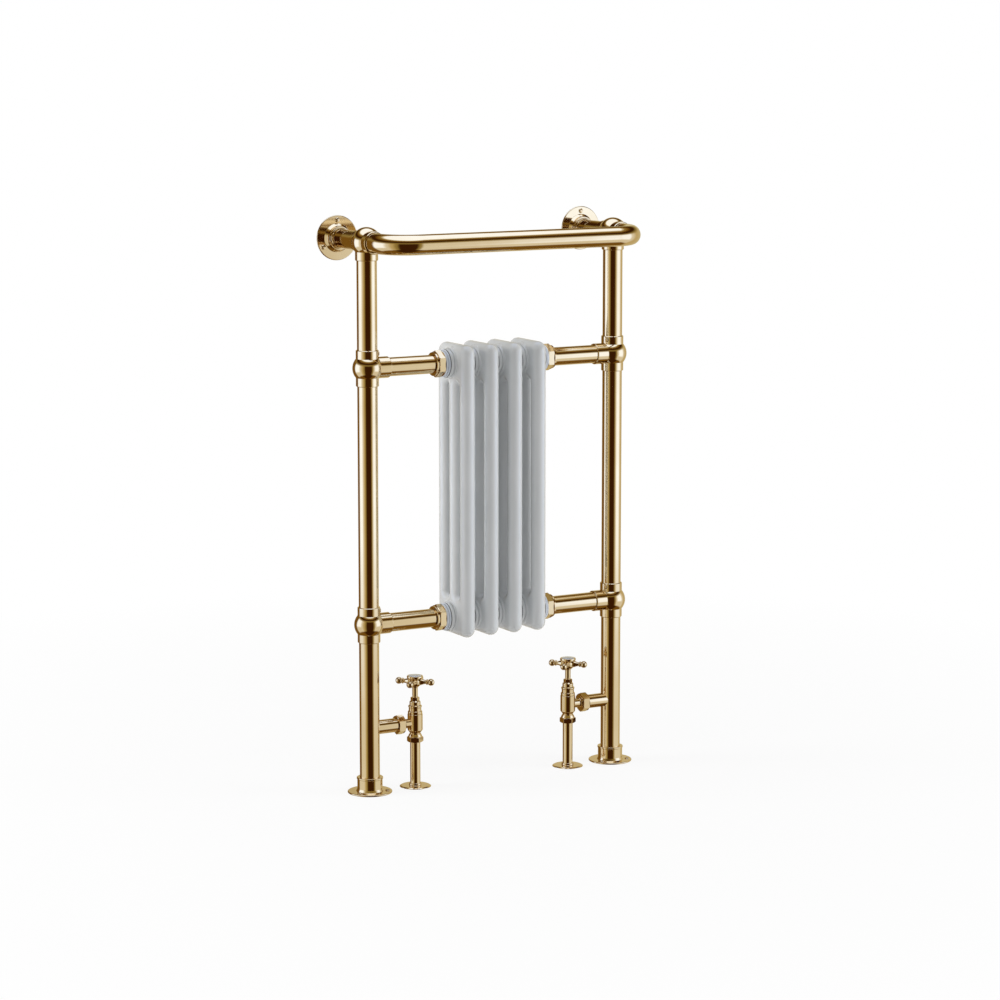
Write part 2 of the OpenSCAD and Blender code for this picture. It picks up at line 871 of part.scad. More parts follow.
sided(true) pipe_sleeve();  // right_pipe_sleeve
floor_collar();  // left_floor_collar
sided(true) floor_collar();  // right_floor_collar
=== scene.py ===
"""Heated towel stand: brass tubes joined by ball fittings, a white column radiator
between the uprights, a bent towel rail on top and a cross-head valve at each foot.
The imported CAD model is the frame. Profiles are in millimetres, the scene in metres."""
import math

import bmesh
import bpy
from mathutils import Matrix, Vector


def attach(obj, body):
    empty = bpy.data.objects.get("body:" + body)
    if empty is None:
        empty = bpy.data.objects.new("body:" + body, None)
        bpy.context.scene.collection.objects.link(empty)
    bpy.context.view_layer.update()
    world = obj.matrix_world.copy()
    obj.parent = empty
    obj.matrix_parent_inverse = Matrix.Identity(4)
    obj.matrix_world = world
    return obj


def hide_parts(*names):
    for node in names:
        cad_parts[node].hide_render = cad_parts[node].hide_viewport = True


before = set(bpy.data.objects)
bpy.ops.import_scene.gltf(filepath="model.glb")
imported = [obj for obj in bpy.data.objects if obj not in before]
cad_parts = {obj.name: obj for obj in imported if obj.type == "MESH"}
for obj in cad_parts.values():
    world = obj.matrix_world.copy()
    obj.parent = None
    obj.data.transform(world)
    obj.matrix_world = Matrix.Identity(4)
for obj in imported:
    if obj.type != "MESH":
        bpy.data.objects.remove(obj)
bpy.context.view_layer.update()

# Foot flanges
# Turned brass plates with a stepped socket for the upright, held to the floor by three
# screws each. Polished on the lathe and lacquered, so they mirror the studio with only a
# faint trace of the polishing mop.
MM = 0.001
UP = (0, 0, 1)
SIDES = {"left": -1, "right": 1}
UPRIGHT_X = 238.0
PLATE_T = 3.0
FOOT = [(0, 0), (38, 0, 1.4), (38, 3, 1.5), (23.5, 3, 0.5), (21.5, 7, 1.5), (21.5, 23.4, 0.3),
        (22.4, 24.0, 0.3), (22.4, 26.6, 0.5), (21.6, 27, 0.3), (17.1, 27, 0.2), (17.1, 24), (0, 24)]


def linear(code):
    """An sRGB hex colour as linear RGBA."""
    parts = [int(code[i:i + 2], 16) / 255 for i in (1, 3, 5)]
    return tuple(c / 12.92 if c <= 0.04045 else ((c + 0.055) / 1.055) ** 2.4 for c in parts) + (1.0,)


def add_node(tree, kind, settings=None, inputs=None):
    """A node with its settings; an input is given a value, or another node's socket to link."""
    node = tree.nodes.new(kind)
    for name, value in (settings or {}).items():
        setattr(node, name, value)
    for name, value in (inputs or {}).items():
        if isinstance(value, bpy.types.NodeSocket):
            tree.links.new(value, node.inputs[name])
        else:
            node.inputs[name].default_value = value
    return node


def new_finish(name):
    finish = bpy.data.materials.new(name)
    finish.use_nodes = True
    finish.node_tree.nodes.clear()
    return finish, finish.node_tree


# Lacquered brass, polished on a mop: a clean mirror with slow waves about 20 mm long, the
# tone clouded over 70 mm, and mop marks that spread the reflection a little. The marks are
# finer in life and are drawn 0.7 mm apart so that they show.
polished_brass, tree = new_finish("polished_lacquered_brass")
place = add_node(tree, "ShaderNodeTexCoord").outputs["Object"]
waves = add_node(tree, "ShaderNodeTexNoise", None, {"Vector": place, "Scale": 45.0, "Detail": 2.0})
mop = add_node(tree, "ShaderNodeTexNoise", None, {"Vector": place, "Scale": 1400.0, "Detail": 3.0})
haze = add_node(tree, "ShaderNodeTexNoise", None, {"Vector": place, "Scale": 14.0, "Detail": 4.0})
tone = add_node(tree, "ShaderNodeValToRGB", None, {"Fac": haze.outputs["Fac"]})
tone.color_ramp.elements[0].position = 0.35
tone.color_ramp.elements[0].color = linear("#E0C594")
tone.color_ramp.elements[1].position = 0.7
tone.color_ramp.elements[1].color = linear("#E6CD9E")
gloss = add_node(tree, "ShaderNodeMapRange", None,
                 {"Value": mop.outputs["Fac"], "From Min": 0.3, "From Max": 0.7,
                  "To Min": 0.06, "To Max": 0.11})
slow = add_node(tree, "ShaderNodeBump", None,
                {"Strength": 0.12, "Distance": 0.00015, "Height": waves.outputs["Fac"]})
fine = add_node(tree, "ShaderNodeBump", None,
                {"Strength": 0.02, "Distance": 0.00005, "Height": mop.outputs["Fac"],
                 "Normal": slow.outputs["Normal"]})
skin = add_node(tree, "ShaderNodeBsdfPrincipled", None, {
    "Base Color": tone.outputs["Color"], "Metallic": 1.0, "Roughness": gloss.outputs["Result"],
    "Coat Weight": 0.3, "Coat Roughness": 0.04, "Normal": fine.outputs["Normal"]})
add_node(tree, "ShaderNodeOutputMaterial", None, {"Surface": skin.outputs["BSDF"]})


def outline(corners, closed=False):
    """Rows (radius, height, normal out, normal up) along a turned profile. A corner is
    (radius, height, rounding); the profile runs up its outside and back to the axis."""
    points = [Vector(c[:2]) for c in corners]
    rows = []
    count = len(points)
    for i, corner in enumerate(corners):
        here = points[i]
        before = here - points[i - 1] if closed or i > 0 else None
        after = points[(i + 1) % count] - here if closed or i < count - 1 else None
        if before is None or after is None:
            run = (after or before).normalized()
            rows.append((here.x, here.y, run.y, -run.x))
            continue
        come, go = before.normalized(), after.normalized()
        turn = math.atan2(come.x * go.y - come.y * go.x, come.dot(go))
        if abs(turn) < 0.02:
            rows.append((here.x, here.y, come.y, -come.x))
            continue
        rounding = corner[2] if len(corner) > 2 else 0.2
        reach = rounding * math.tan(abs(turn) / 2)
        reach = min(reach, 0.48 * before.length, 0.48 * after.length)
        rounding = reach / math.tan(abs(turn) / 2)
        side = 1 if turn > 0 else -1
        start = here - come * reach
        facing = Vector((come.y, -come.x))
        centre = start - facing * rounding * side
        steps = max(2, math.ceil(abs(turn) / math.radians(16 if rounding < 0.8 else 7)))
        for k in range(steps + 1):
            a = turn * k / steps
            n = Vector((facing.x * math.cos(a) - facing.y * math.sin(a),
                        facing.x * math.sin(a) + facing.y * math.cos(a)))
            p = centre + n * rounding * side
            rows.append((max(p.x, 0.0), p.y, n.x, n.y))
    return rows


def ball(radius, height=0.0, steps=40):
    """Rows of a ball on the axis."""
    angles = [math.pi * (k / steps - 0.5) for k in range(steps + 1)]
    return [(radius * math.cos(a) if 0 < k < steps else 0.0, height + radius * math.sin(a),
             math.cos(a), math.sin(a)) for k, a in enumerate(angles)]


def turned(rows, at=(0, 0, 0), toward=UP, sides=96, closed=False):
    """Rows spun round an axis that starts at a place (mm) and runs toward a direction."""
    spin = Vector(UP).rotation_difference(Vector(toward).normalized()).to_matrix()
    verts, normals, faces, rings = [], [], [], []
    for r, z, n_out, n_up in rows:
        ring = []
        for k in range(1 if r < 1e-6 else sides):
            a = 2 * math.pi * k / sides
            if r < 1e-6:
                n = Vector((0, 0, n_up or 1.0))
            else:
                n = Vector((n_out * math.cos(a), n_out * math.sin(a), n_up))
            p = Vector((r * math.cos(a), r * math.sin(a), z))
            ring.append(len(verts))
            verts.append((spin @ p + Vector(at)) * MM)
            normals.append((spin @ n).normalized())
        rings.append(ring)
    pairs = list(zip(rings, rings[1:])) + ([(rings[-1], rings[0])] if closed else [])
    for low, high in pairs:
        for k in range(sides):
            j = (k + 1) % sides
            if len(low) == 1 and len(high) == 1:
                continue
            if len(low) == 1:
                faces.append((low[0], high[j], high[k]))
            elif len(high) == 1:
                faces.append((low[k], low[j], high[0]))
            else:
                faces.append((low[k], low[j], high[j], high[k]))
    return verts, normals, faces


def make_piece(name, forms, finish, nodes=(), body="stand"):
    """One object from turned forms, with their exact normals, in place of its CAD nodes."""
    verts, normals, faces = [], [], []
    for form_verts, form_normals, form_faces in forms:
        first = len(verts)
        verts += form_verts
        normals += form_normals
        faces += [tuple(first + v for v in face) for face in form_faces]
    mesh = bpy.data.meshes.new(name)
    mesh.from_pydata(verts, [], faces)
    mesh.shade_smooth()
    mesh.normals_split_custom_set_from_vertices(normals)
    return settle(name, mesh, finish, nodes, body)


def settle(name, mesh, finish, nodes, body):
    """Puts a finished mesh in the scene as a piece of the stand."""
    mesh.name = name
    mesh.materials.clear()
    mesh.materials.append(finish)
    piece = bpy.data.objects.new(name, mesh)
    bpy.context.scene.collection.objects.link(piece)
    if nodes:
        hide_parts(*nodes)
    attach(piece, body)
    return piece


for side, sign in SIDES.items():
    make_piece(side + "_foot_flange_turned", [turned(outline(FOOT), (sign * UPRIGHT_X, 0, 0))],
               polished_brass, [side + "_foot_flange"])

# Uprights
# Drawn brass tube, 34 mm across, in three lengths a side. Each end is pushed into the
# socket of a ball fitting or of the foot.
UPRIGHT_R = 17.0
LOWER_RUNG_Z = 290.0
UPPER_RUNG_Z = 725.0
RAIL_Z = 935.0
TUBE_STOP = 17.0
FOOT_CLEAR = 0.1


def tube(radius, length):
    """A tube whose ends are hidden in its fittings, drawn with its ends closed."""
    return outline([(0, 0), (radius, 0, 0.3), (radius, length, 0.3), (0, length)])


for side, sign in SIDES.items():
    for part, low, high in (("lower", PLATE_T + FOOT_CLEAR, LOWER_RUNG_Z - TUBE_STOP),
                            ("middle", LOWER_RUNG_Z + TUBE_STOP, UPPER_RUNG_Z - TUBE_STOP),
                            ("top", UPPER_RUNG_Z + TUBE_STOP, RAIL_Z - TUBE_STOP)):
        make_piece(f"{side}_{part}_upright_tube",
                   [turned(tube(UPRIGHT_R, high - low), (sign * UPRIGHT_X, 0, low), sides=128)],
                   polished_brass, [f"{side}_{part}_upright"])

# Ball tees
# Cast brass balls, 50 mm across, turned and polished, with two sockets for the upright
# and one for the rung. Each mouth is chamfered. A round-headed locking screw goes
# through the upper socket into the tube.
BALL_R = 25.0
SOCKET_WALL = 2.2
TEE_REACH = 30.5
SIDE_REACH = 38.0
RUNG_R = 15.8
LOCK_RISE = 24.6
LOCK_ANGLE = math.radians(31)
LOCK_SCREW = [(0, -1), (3.5, -1, 0.2), (3.5, 0.6, 0.9), (2.4, 1.15, 0.6), (0, 1.2)]


def socket(tube_r, reach):
    """A socket that stands out of the ball's middle."""
    outer = tube_r + SOCKET_WALL
    return outline([(0, 8), (outer, 8, 0.5), (outer, reach - 0.9, 0.6), (outer - 0.9, reach, 0.4),
                    (tube_r + 0.08, reach, 0.15), (tube_r + 0.08, reach - 2), (0, reach - 2)])


lock_forms = []
for side, sign in SIDES.items():
    for part, z in (("lower", LOWER_RUNG_Z), ("upper", UPPER_RUNG_Z)):
        at = (sign * UPRIGHT_X, 0, z)
        make_piece(f"{side}_{part}_ball_tee", [
            turned(ball(BALL_R), at, sides=96),
            turned(socket(UPRIGHT_R, TEE_REACH), at, UP),
            turned(socket(UPRIGHT_R, TEE_REACH), at, (0, 0, -1)),
            turned(socket(RUNG_R, SIDE_REACH), at, (-sign, 0, 0))],
            polished_brass, [f"{side}_{part}_tee"])
        inward = Vector((-sign * math.cos(LOCK_ANGLE), -math.sin(LOCK_ANGLE), 0))
        seat = Vector((sign * UPRIGHT_X, 0, z + LOCK_RISE)) + inward * (UPRIGHT_R + SOCKET_WALL)
        lock_forms.append(turned(outline(LOCK_SCREW), seat, inward, sides=48))
make_piece("tee_locking_screws", lock_forms, polished_brass, ["tee_screws"])

# Top elbows, wall stays and wall flanges
# The same balls at the top of the uprights carry the towel rail in front and a short
# stay behind. The stay ends in a stepped plate that is screwed to the wall.
WALL_Y = 112.0
WALL_PLATE = [(0, 0), (38, 0, 1.4), (38, 3, 1.5), (24.3, 3, 0.6), (20.3, 7.6, 2.5), (20.3, 12.7, 0.7),
              (17.9, 13, 0.5), (17.9, 17.6, 0.6), (16.0, 18, 0.3), (15.9, 16), (0, 16)]
for side, sign in SIDES.items():
    at = (sign * UPRIGHT_X, 0, RAIL_Z)
    make_piece(side + "_top_ball_elbow", [
        turned(ball(BALL_R), at, sides=96),
        turned(socket(UPRIGHT_R, TEE_REACH), at, (0, 0, -1)),
        turned(socket(UPRIGHT_R, TEE_REACH), at, (0, -1, 0)),
        turned(socket(RUNG_R, TEE_REACH), at, (0, 1, 0))],
        polished_brass, [side + "_top_elbow"])
    make_piece(side + "_wall_stay_tube",
               [turned(tube(RUNG_R, WALL_Y - PLATE_T - TUBE_STOP),
                       (sign * UPRIGHT_X, TUBE_STOP, RAIL_Z), (0, 1, 0), 128)],
               polished_brass, [side + "_wall_stay"])
    make_piece(side + "_wall_flange_turned",
               [turned(outline(WALL_PLATE), (sign * UPRIGHT_X, WALL_Y, RAIL_Z), (0, -1, 0))],
               polished_brass, [side + "_wall_flange"])

# Flange screws
# Brass wood screws with domed, cross-slotted heads. Three hold each flange, set on a
# 60 mm circle by a small node tree.
SCREWS = 3
SCREW_CIRCLE_R = 30.0
SCREW_R = 4.2
SLOT_T = 0.8


def screw_head():
    """A domed head with a cross cut in its crown."""
    rows = outline([(0, 0), (SCREW_R, 0, 0.1), (SCREW_R, 0.5, 0.4), (3.4, 1.5, 1.2), (1.6, 2.0, 1.5),
                    (0, 2.05)])
    verts, normals, faces = turned(rows, sides=40)
    mesh = bpy.data.meshes.new("flange_screw_head")
    mesh.from_pydata(verts, [], faces)
    head = bpy.data.objects.new("flange_screw_head", mesh)
    bpy.context.scene.collection.objects.link(head)
    cross = bpy.data.meshes.new("flange_screw_cross")
    work = bmesh.new()
    for size in ((SCREW_R * MM, SLOT_T * MM, 0.003), (SLOT_T * MM, SCREW_R * MM, 0.003)):
        bar = bmesh.ops.create_cube(work, size=1.0)["verts"]
        bmesh.ops.scale(work, vec=size, verts=bar)
        bmesh.ops.translate(work, vec=(0, 0, 0.0025), verts=bar)
    work.to_mesh(cross)
    work.free()
    cutter = bpy.data.objects.new("flange_screw_cross", cross)
    bpy.context.scene.collection.objects.link(cutter)
    cut = head.modifiers.new("cross", "BOOLEAN")
    cut.operation = "DIFFERENCE"
    cut.object = cutter
    cut.solver = "EXACT"
    cut.use_self = True
    mesh = plain_mesh(head)
    bpy.data.objects.remove(head)
    bpy.data.objects.remove(cutter)
    mesh.shade_smooth()
    mesh.set_sharp_from_angle(angle=math.radians(35))
    return bpy.data.objects.new("flange_screw_head", mesh)


def plain_mesh(source):
    """The object's mesh with all its modifiers worked in."""
    now = bpy.context.evaluated_depsgraph_get()
    now.update()
    return bpy.data.meshes.new_from_object(source.evaluated_get(now), depsgraph=now)


def new_tree(name, inputs):
    """A geometry node tree with named inputs, its first node and the inputs' ids."""
    nodes = bpy.data.node_groups.new(name, "GeometryNodeTree")
    nodes.interface.new_socket("Geometry", in_out="OUTPUT", socket_type="NodeSocketGeometry")
    ids = {}
    for label, kind in inputs.items():
        socket_in = nodes.interface.new_socket(label, in_out="INPUT", socket_type="NodeSocket" + kind)
        ids[label] = socket_in.identifier
    return nodes, add_node(nodes, "NodeGroupInput"), ids


def end_tree(nodes, geometry, start):
    """Every tree ends by making its copies real and giving them their finish."""
    real = add_node(nodes, "GeometryNodeRealizeInstances", None, {"Geometry": geometry})
    dressed = add_node(nodes, "GeometryNodeSetMaterial", None,
                       {"Geometry": real.outputs["Geometry"], "Material": start.outputs["Finish"]})
    add_node(nodes, "NodeGroupOutput", None, {"Geometry": dressed.outputs["Geometry"]})


def grown(name, nodes, ids, values):
    """Runs a node tree with these input values and returns its plain mesh."""
    holder = bpy.data.objects.new(name, bpy.data.meshes.new(name))
    bpy.context.scene.collection.objects.link(holder)
    modifier = holder.modifiers.new("rule", "NODES")
    modifier.node_group = nodes
    for label, value in values.items():
        modifier[ids[label]] = value
    mesh = plain_mesh(holder)
    bpy.data.objects.remove(holder)
    return mesh


ring_tree, start, ring_ids = new_tree("screws_on_a_circle", {
    "Screw": "Object", "Count": "Int", "Circle radius": "Float", "Centre": "Vector", "Turn": "Vector",
    "Finish": "Material"})
circle = add_node(ring_tree, "GeometryNodeMeshCircle", None,
                  {"Vertices": start.outputs["Count"], "Radius": start.outputs["Circle radius"]})
screw_in = add_node(ring_tree, "GeometryNodeObjectInfo", None, {"Object": start.outputs["Screw"]})
set_out = add_node(ring_tree, "GeometryNodeInstanceOnPoints", None,
                   {"Points": circle.outputs["Mesh"], "Instance": screw_in.outputs["Geometry"]})
moved = add_node(ring_tree, "GeometryNodeTransform", None,
                 {"Geometry": set_out.outputs["Instances"], "Translation": start.outputs["Centre"],
                  "Rotation": start.outputs["Turn"]})
end_tree(ring_tree, moved.outputs["Geometry"], start)
screw = screw_head()
bpy.context.scene.collection.objects.link(screw)
for side, sign in SIDES.items():
    for part, centre, turn in (
            ("foot", (sign * UPRIGHT_X * MM, 0, PLATE_T * MM), (0, 0, math.radians(90))),
            ("wall", (sign * UPRIGHT_X * MM, (WALL_Y - PLATE_T) * MM, RAIL_Z * MM),
             (math.radians(90), math.radians(-90), 0))):
        mesh = grown("ring", ring_tree, ring_ids, {
            "Screw": screw, "Count": SCREWS, "Circle radius": SCREW_CIRCLE_R * MM, "Centre": centre,
            "Turn": turn, "Finish": polished_brass})
        mesh.set_sharp_from_angle(angle=math.radians(35))
        settle(f"{side}_{part}_flange_screws", mesh, polished_brass, [], "stand")
bpy.data.objects.remove(screw)

# Towel rail
# One length of the same tube with a quarter bend near each end, bent cold over a former
# so that its wall stays smooth, and pushed into the front sockets of the two elbows.
RAIL_R = 17.0
RAIL_REACH = 95.0
BEND_R = 50.0
rail_tree, start, rail_ids = new_tree("bent_towel_rail", {
    "Depth": "Float", "Width": "Float", "Bend radius": "Float", "Tube radius": "Float", "Centre": "Vector",
    "Finish": "Material"})
frame_line = add_node(rail_tree, "GeometryNodeCurvePrimitiveQuadrilateral", {"mode": "RECTANGLE"},
                      {"Width": start.outputs["Depth"], "Height": start.outputs["Width"]})
opened = add_node(rail_tree, "GeometryNodeSetSplineCyclic", None,
                  {"Geometry": frame_line.outputs["Curve"], "Cyclic": False})
bent = add_node(rail_tree, "GeometryNodeFilletCurve", {"mode": "POLY"},
                {"Curve": opened.outputs["Geometry"], "Count": 40, "Radius": start.outputs["Bend radius"],
                 "Limit Radius": True})
turned_line = add_node(rail_tree, "GeometryNodeTransform", None,
                       {"Geometry": bent.outputs["Curve"], "Translation": start.outputs["Centre"],
                        "Rotation": (0, 0, math.radians(90))})
round_line = add_node(rail_tree, "GeometryNodeCurvePrimitiveCircle", {"mode": "RADIUS"},
                      {"Resolution": 96, "Radius": start.outputs["Tube radius"]})
swept = add_node(rail_tree, "GeometryNodeCurveToMesh", None,
                 {"Curve": turned_line.outputs["Geometry"], "Profile Curve": round_line.outputs["Curve"],
                  "Fill Caps": True})
end_tree(rail_tree, swept.outputs["Mesh"], start)
rail_depth = RAIL_REACH - TUBE_STOP
rail_mesh = grown("rail", rail_tree, rail_ids, {
    "Depth": rail_depth * MM, "Width": 2 * UPRIGHT_X * MM, "Bend radius": BEND_R * MM,
    "Tube radius": RAIL_R * MM, "Centre": (0, -(RAIL_REACH + TUBE_STOP) / 2 * MM, RAIL_Z * MM),
    "Finish": polished_brass})
rail_mesh.shade_smooth()


def rail_facing(point):
    """The exact direction out of the rail's centre line at a point of its surface."""
    p = point / MM
    bend_x = UPRIGHT_X - BEND_R
    side = math.copysign(1, p.x)
    if abs(p.x) <= bend_x:
        middle = Vector((p.x, -RAIL_REACH, RAIL_Z))
    elif p.y >= BEND_R - RAIL_REACH:
        middle = Vector((side * UPRIGHT_X, p.y, RAIL_Z))
    else:
        hinge = Vector((side * bend_x, BEND_R - RAIL_REACH, RAIL_Z))
        arm = Vector((p.x, p.y, RAIL_Z)) - hinge
        middle = hinge + arm.normalized() * BEND_R
    return (p - middle).normalized()


rail_mesh.normals_split_custom_set_from_vertices([rail_facing(v.co) for v in rail_mesh.vertices])
settle("bent_towel_rail", rail_mesh, polished_brass, ["towel_rail"], "stand")

# Rungs and radiator unions
# Short tubes from the tees to the radiator. A hexagon nut with a round shoulder draws
# each one on to a threaded bush, against a red fibre washer.
NUT_START = 99.8
RUNG_END = 108.7
UNION_ACROSS = 40.0
HEX_ROLL = math.radians(30)


def hex_nut(across, low, high, bore, cone=0.95, sides=72):
    """A hexagon nut as a closed ring, its two ends turned to a cone that starts at this
    share of the width across flats."""
    verts, faces, rings = [], [], []
    flat = across / 2
    slope = math.tan(math.radians(28))
    for kind, z, lean in (("bore", low, 0), ("face", low, 0), ("hex", low, 1), ("hex", high, -1),
                          ("face", high, 0), ("bore", high, 0)):
        ring = []
        for k in range(sides):
            a = 2 * math.pi * k / sides
            off = (a + math.pi / 6) % (math.pi / 3) - math.pi / 6
            r = {"bore": bore, "face": flat * cone, "hex": flat / math.cos(off)}[kind]
            drop = lean * (r - flat * cone) * slope
            ring.append(len(verts))
            verts.append(Vector((r * math.cos(a), r * math.sin(a), z + drop)))
        rings.append(ring)
    for low_ring, high_ring in zip(rings, rings[1:] + rings[:1]):
        for k in range(sides):
            j = (k + 1) % sides
            faces.append((low_ring[k], low_ring[j], high_ring[j], high_ring[k]))
    return verts, faces


def spun(corners, sides=72):
    """A turned form as plain faces, with sharp corners for the bevel to round."""
    verts, faces, rings = [], [], []
    for r, z in corners:
        rings.append(list(range(len(verts), len(verts) + sides)))
        verts += [Vector((r * math.cos(2 * math.pi * k / sides), r * math.sin(2 * math.pi * k / sides), z))
                  for k in range(sides)]
    for low_ring, high_ring in zip(rings, rings[1:] + rings[:1]):
        for k in range(sides):
            j = (k + 1) % sides
            faces.append((low_ring[k], low_ring[j], high_ring[j], high_ring[k]))
    return verts, faces


def make_nuts(name, places, forms, rounding, finish, nodes, roll=0.0):
    """Copies of a nut, one at each (place, direction), with softly rounded edges."""
    verts, faces = [], []
    for at, toward in places:
        spin = Vector(UP).rotation_difference(Vector(toward)) @ Matrix.Rotation(roll, 3, "Z").to_quaternion()
        for form_verts, form_faces in forms:
            first = len(verts)
            verts += [(spin @ v + Vector(at)) * MM for v in form_verts]
            faces += [tuple(first + i for i in face) for face in form_faces]
    mesh = bpy.data.meshes.new(name)
    mesh.from_pydata(verts, [], faces)
    mesh.shade_smooth()
    holder = bpy.data.objects.new(name, mesh)
    bpy.context.scene.collection.objects.link(holder)
    soften = holder.modifiers.new("soft edges", "BEVEL")
    soften.width = rounding * MM
    soften.segments = 3
    soften.limit_method = "ANGLE"
    soften.angle_limit = math.radians(18)
    soften.use_clamp_overlap = True
    soften.harden_normals = True
    done = plain_mesh(holder)
    bpy.data.objects.remove(holder)
    return settle(name, done, finish, nodes, "stand")


for side, sign in SIDES.items():
    for part, z in (("lower", LOWER_RUNG_Z), ("upper", UPPER_RUNG_Z)):
        make_piece(f"{side}_{part}_rung_tube",
                   [turned(tube(RUNG_R, UPRIGHT_X - TUBE_STOP - RUNG_END),
                           (sign * RUNG_END, 0, z), (sign, 0, 0), 128)],
                   polished_brass, [f"{side}_{part}_rung"])
union_places = [((sign * NUT_START, 0, z), (sign, 0, 0))
                for sign in SIDES.values() for z in (LOWER_RUNG_Z, UPPER_RUNG_Z)]
make_nuts("radiator_union_hexagons", union_places,
          [hex_nut(UNION_ACROSS, 0, 11.2, 18.2, 1.07),
           spun([(15.95, 9.5), (18.6, 9.5), (18.6, 12.2), (20.1, 12.8), (20.1, 15.4), (19.2, 16.2),
                 (15.95, 16.2)])],
          0.35, polished_brass, ["radiator_union_nuts"], roll=HEX_ROLL)

# Vulcanised fibre: red paper fibre pressed hard, dull with a faint fleck of 0.6 mm.
vulcanised_fibre, tree = new_finish("vulcanised_fibre")
place = add_node(tree, "ShaderNodeTexCoord").outputs["Object"]
fleck = add_node(tree, "ShaderNodeTexNoise", None, {"Vector": place, "Scale": 1600.0, "Detail": 4.0})
tone = add_node(tree, "ShaderNodeValToRGB", None, {"Fac": fleck.outputs["Fac"]})
tone.color_ramp.elements[0].color = linear("#7A3C28")
tone.color_ramp.elements[1].color = linear("#9A5A40")
rough = add_node(tree, "ShaderNodeBump", None,
                 {"Strength": 0.3, "Distance": 0.0001, "Height": fleck.outputs["Fac"]})
skin = add_node(tree, "ShaderNodeBsdfPrincipled", None,
                {"Base Color": tone.outputs["Color"], "Roughness": 0.7, "IOR": 1.45,
                 "Normal": rough.outputs["Normal"]})
add_node(tree, "ShaderNodeOutputMaterial", None, {"Surface": skin.outputs["BSDF"]})


def dress(node, finish):
    """Gives a CAD node that is kept as it is its own finish."""
    for place_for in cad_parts[node].material_slots:
        place_for.material = finish


dress("radiator_union_washers", vulcanised_fibre)

# Radiator bushes
# Stepped steel reducers screwed into the end hubs, with a groove between their rings, and
# enamelled with a slightly blue white that differs from the sections'.
BUSH_START = 92.5


def enamel(name, light, dark, roughness):
    """Stoved gloss enamel on steel: an even colour, clouded over 110 mm by the spray, whose
    surface has sags 25 mm long and the 3 mm orange peel of a thick sprayed coat."""
    finish, tree = new_finish(name)
    place = add_node(tree, "ShaderNodeTexCoord").outputs["Object"]
    cloud = add_node(tree, "ShaderNodeTexNoise", None, {"Vector": place, "Scale": 9.0, "Detail": 3.0})
    tone = add_node(tree, "ShaderNodeValToRGB", None, {"Fac": cloud.outputs["Fac"]})
    tone.color_ramp.elements[0].position = 0.3
    tone.color_ramp.elements[0].color = linear(dark)
    tone.color_ramp.elements[1].position = 0.7
    tone.color_ramp.elements[1].color = linear(light)
    peel = add_node(tree, "ShaderNodeTexNoise", None, {"Vector": place, "Scale": 320.0, "Detail": 2.0})
    sag = add_node(tree, "ShaderNodeTexNoise", None, {"Vector": place, "Scale": 40.0, "Detail": 1.0})
    slow = add_node(tree, "ShaderNodeBump", None,
                    {"Strength": 0.3, "Distance": 0.0004, "Height": sag.outputs["Fac"]})
    fine = add_node(tree, "ShaderNodeBump", None,
                    {"Strength": 0.12, "Distance": 0.0002, "Height": peel.outputs["Fac"],
                     "Normal": slow.outputs["Normal"]})
    skin = add_node(tree, "ShaderNodeBsdfPrincipled", None,
                    {"Base Color": tone.outputs["Color"], "Roughness": roughness, "IOR": 1.5,
                     "Normal": fine.outputs["Normal"]})
    add_node(tree, "ShaderNodeOutputMaterial", None, {"Surface": skin.outputs["BSDF"]})
    return finish


bush_enamel = enamel("stoved_blue_white_enamel", "#DCE1E8", "#D6DCE4", 0.22)
BUSH = [(0, 0), (23.6, 0, 0.3), (24, 0.5, 0.3), (24, 2.3, 0.5), (21.0, 2.7, 0.2), (20.6, 3.8, 0.3),
        (22.6, 4.2, 0.3), (22.6, 6.4, 0.6), (21.0, 7.1, 0.4), (18.2, 7.3, 0.2), (18, 9), (0, 9)]
make_piece("stepped_radiator_bushes", [
    turned(outline(BUSH), (sign * BUSH_START, 0, z), (sign, 0, 0), 80)
    for sign in SIDES.values() for z in (LOWER_RUNG_Z, UPPER_RUNG_Z)],
    bush_enamel, ["radiator_bushes"])

# Radiator sections
# Four steel sections, each of three 25 mm columns welded into a round-edged header above
# and below, with a hub through each header. Nipples draw the hubs together on flat
# gaskets. The welds are dressed and the whole radiator is sprayed with gloss enamel.
COLUMN_R = 12.5
COLUMN_PITCH = 37.5
SECTION_TOP = 757.5
SECTION_BOTTOM = 257.5
HEADER_H = 66.0
HEADER_CORNER = 3.0
SECTION_PITCH = 46.0
SECTION_COUNT = 4
SECTION_HUB = [(0, 0), (30.0, 0, 0.2), (28.5, 11.6, 0.2), (25.8, 13.8, 1.4), (25.8, 15.8, 0.5),
               (23.4, 16.3, 0.2), (23.4, 17.3, 0.2), (25.4, 17.8, 0.4), (25.2, 21.7, 0.6), (24.2, 22.5, 0.3),
               (18, 22.5, 0.3), (18, 16), (0, 16)]
white_enamel = enamel("stoved_white_enamel", "#DADCDD", "#D4D7D8", 0.2)


def arc(centre, radius, first, last, steps):
    """Points and outward directions along an arc in the section's plane (degrees)."""
    found = []
    for k in range(steps + 1):
        a = math.radians(first + (last - first) * k / steps)
        d = Vector((math.cos(a), math.sin(a)))
        found.append((Vector(centre) + d * radius, d))
    return found


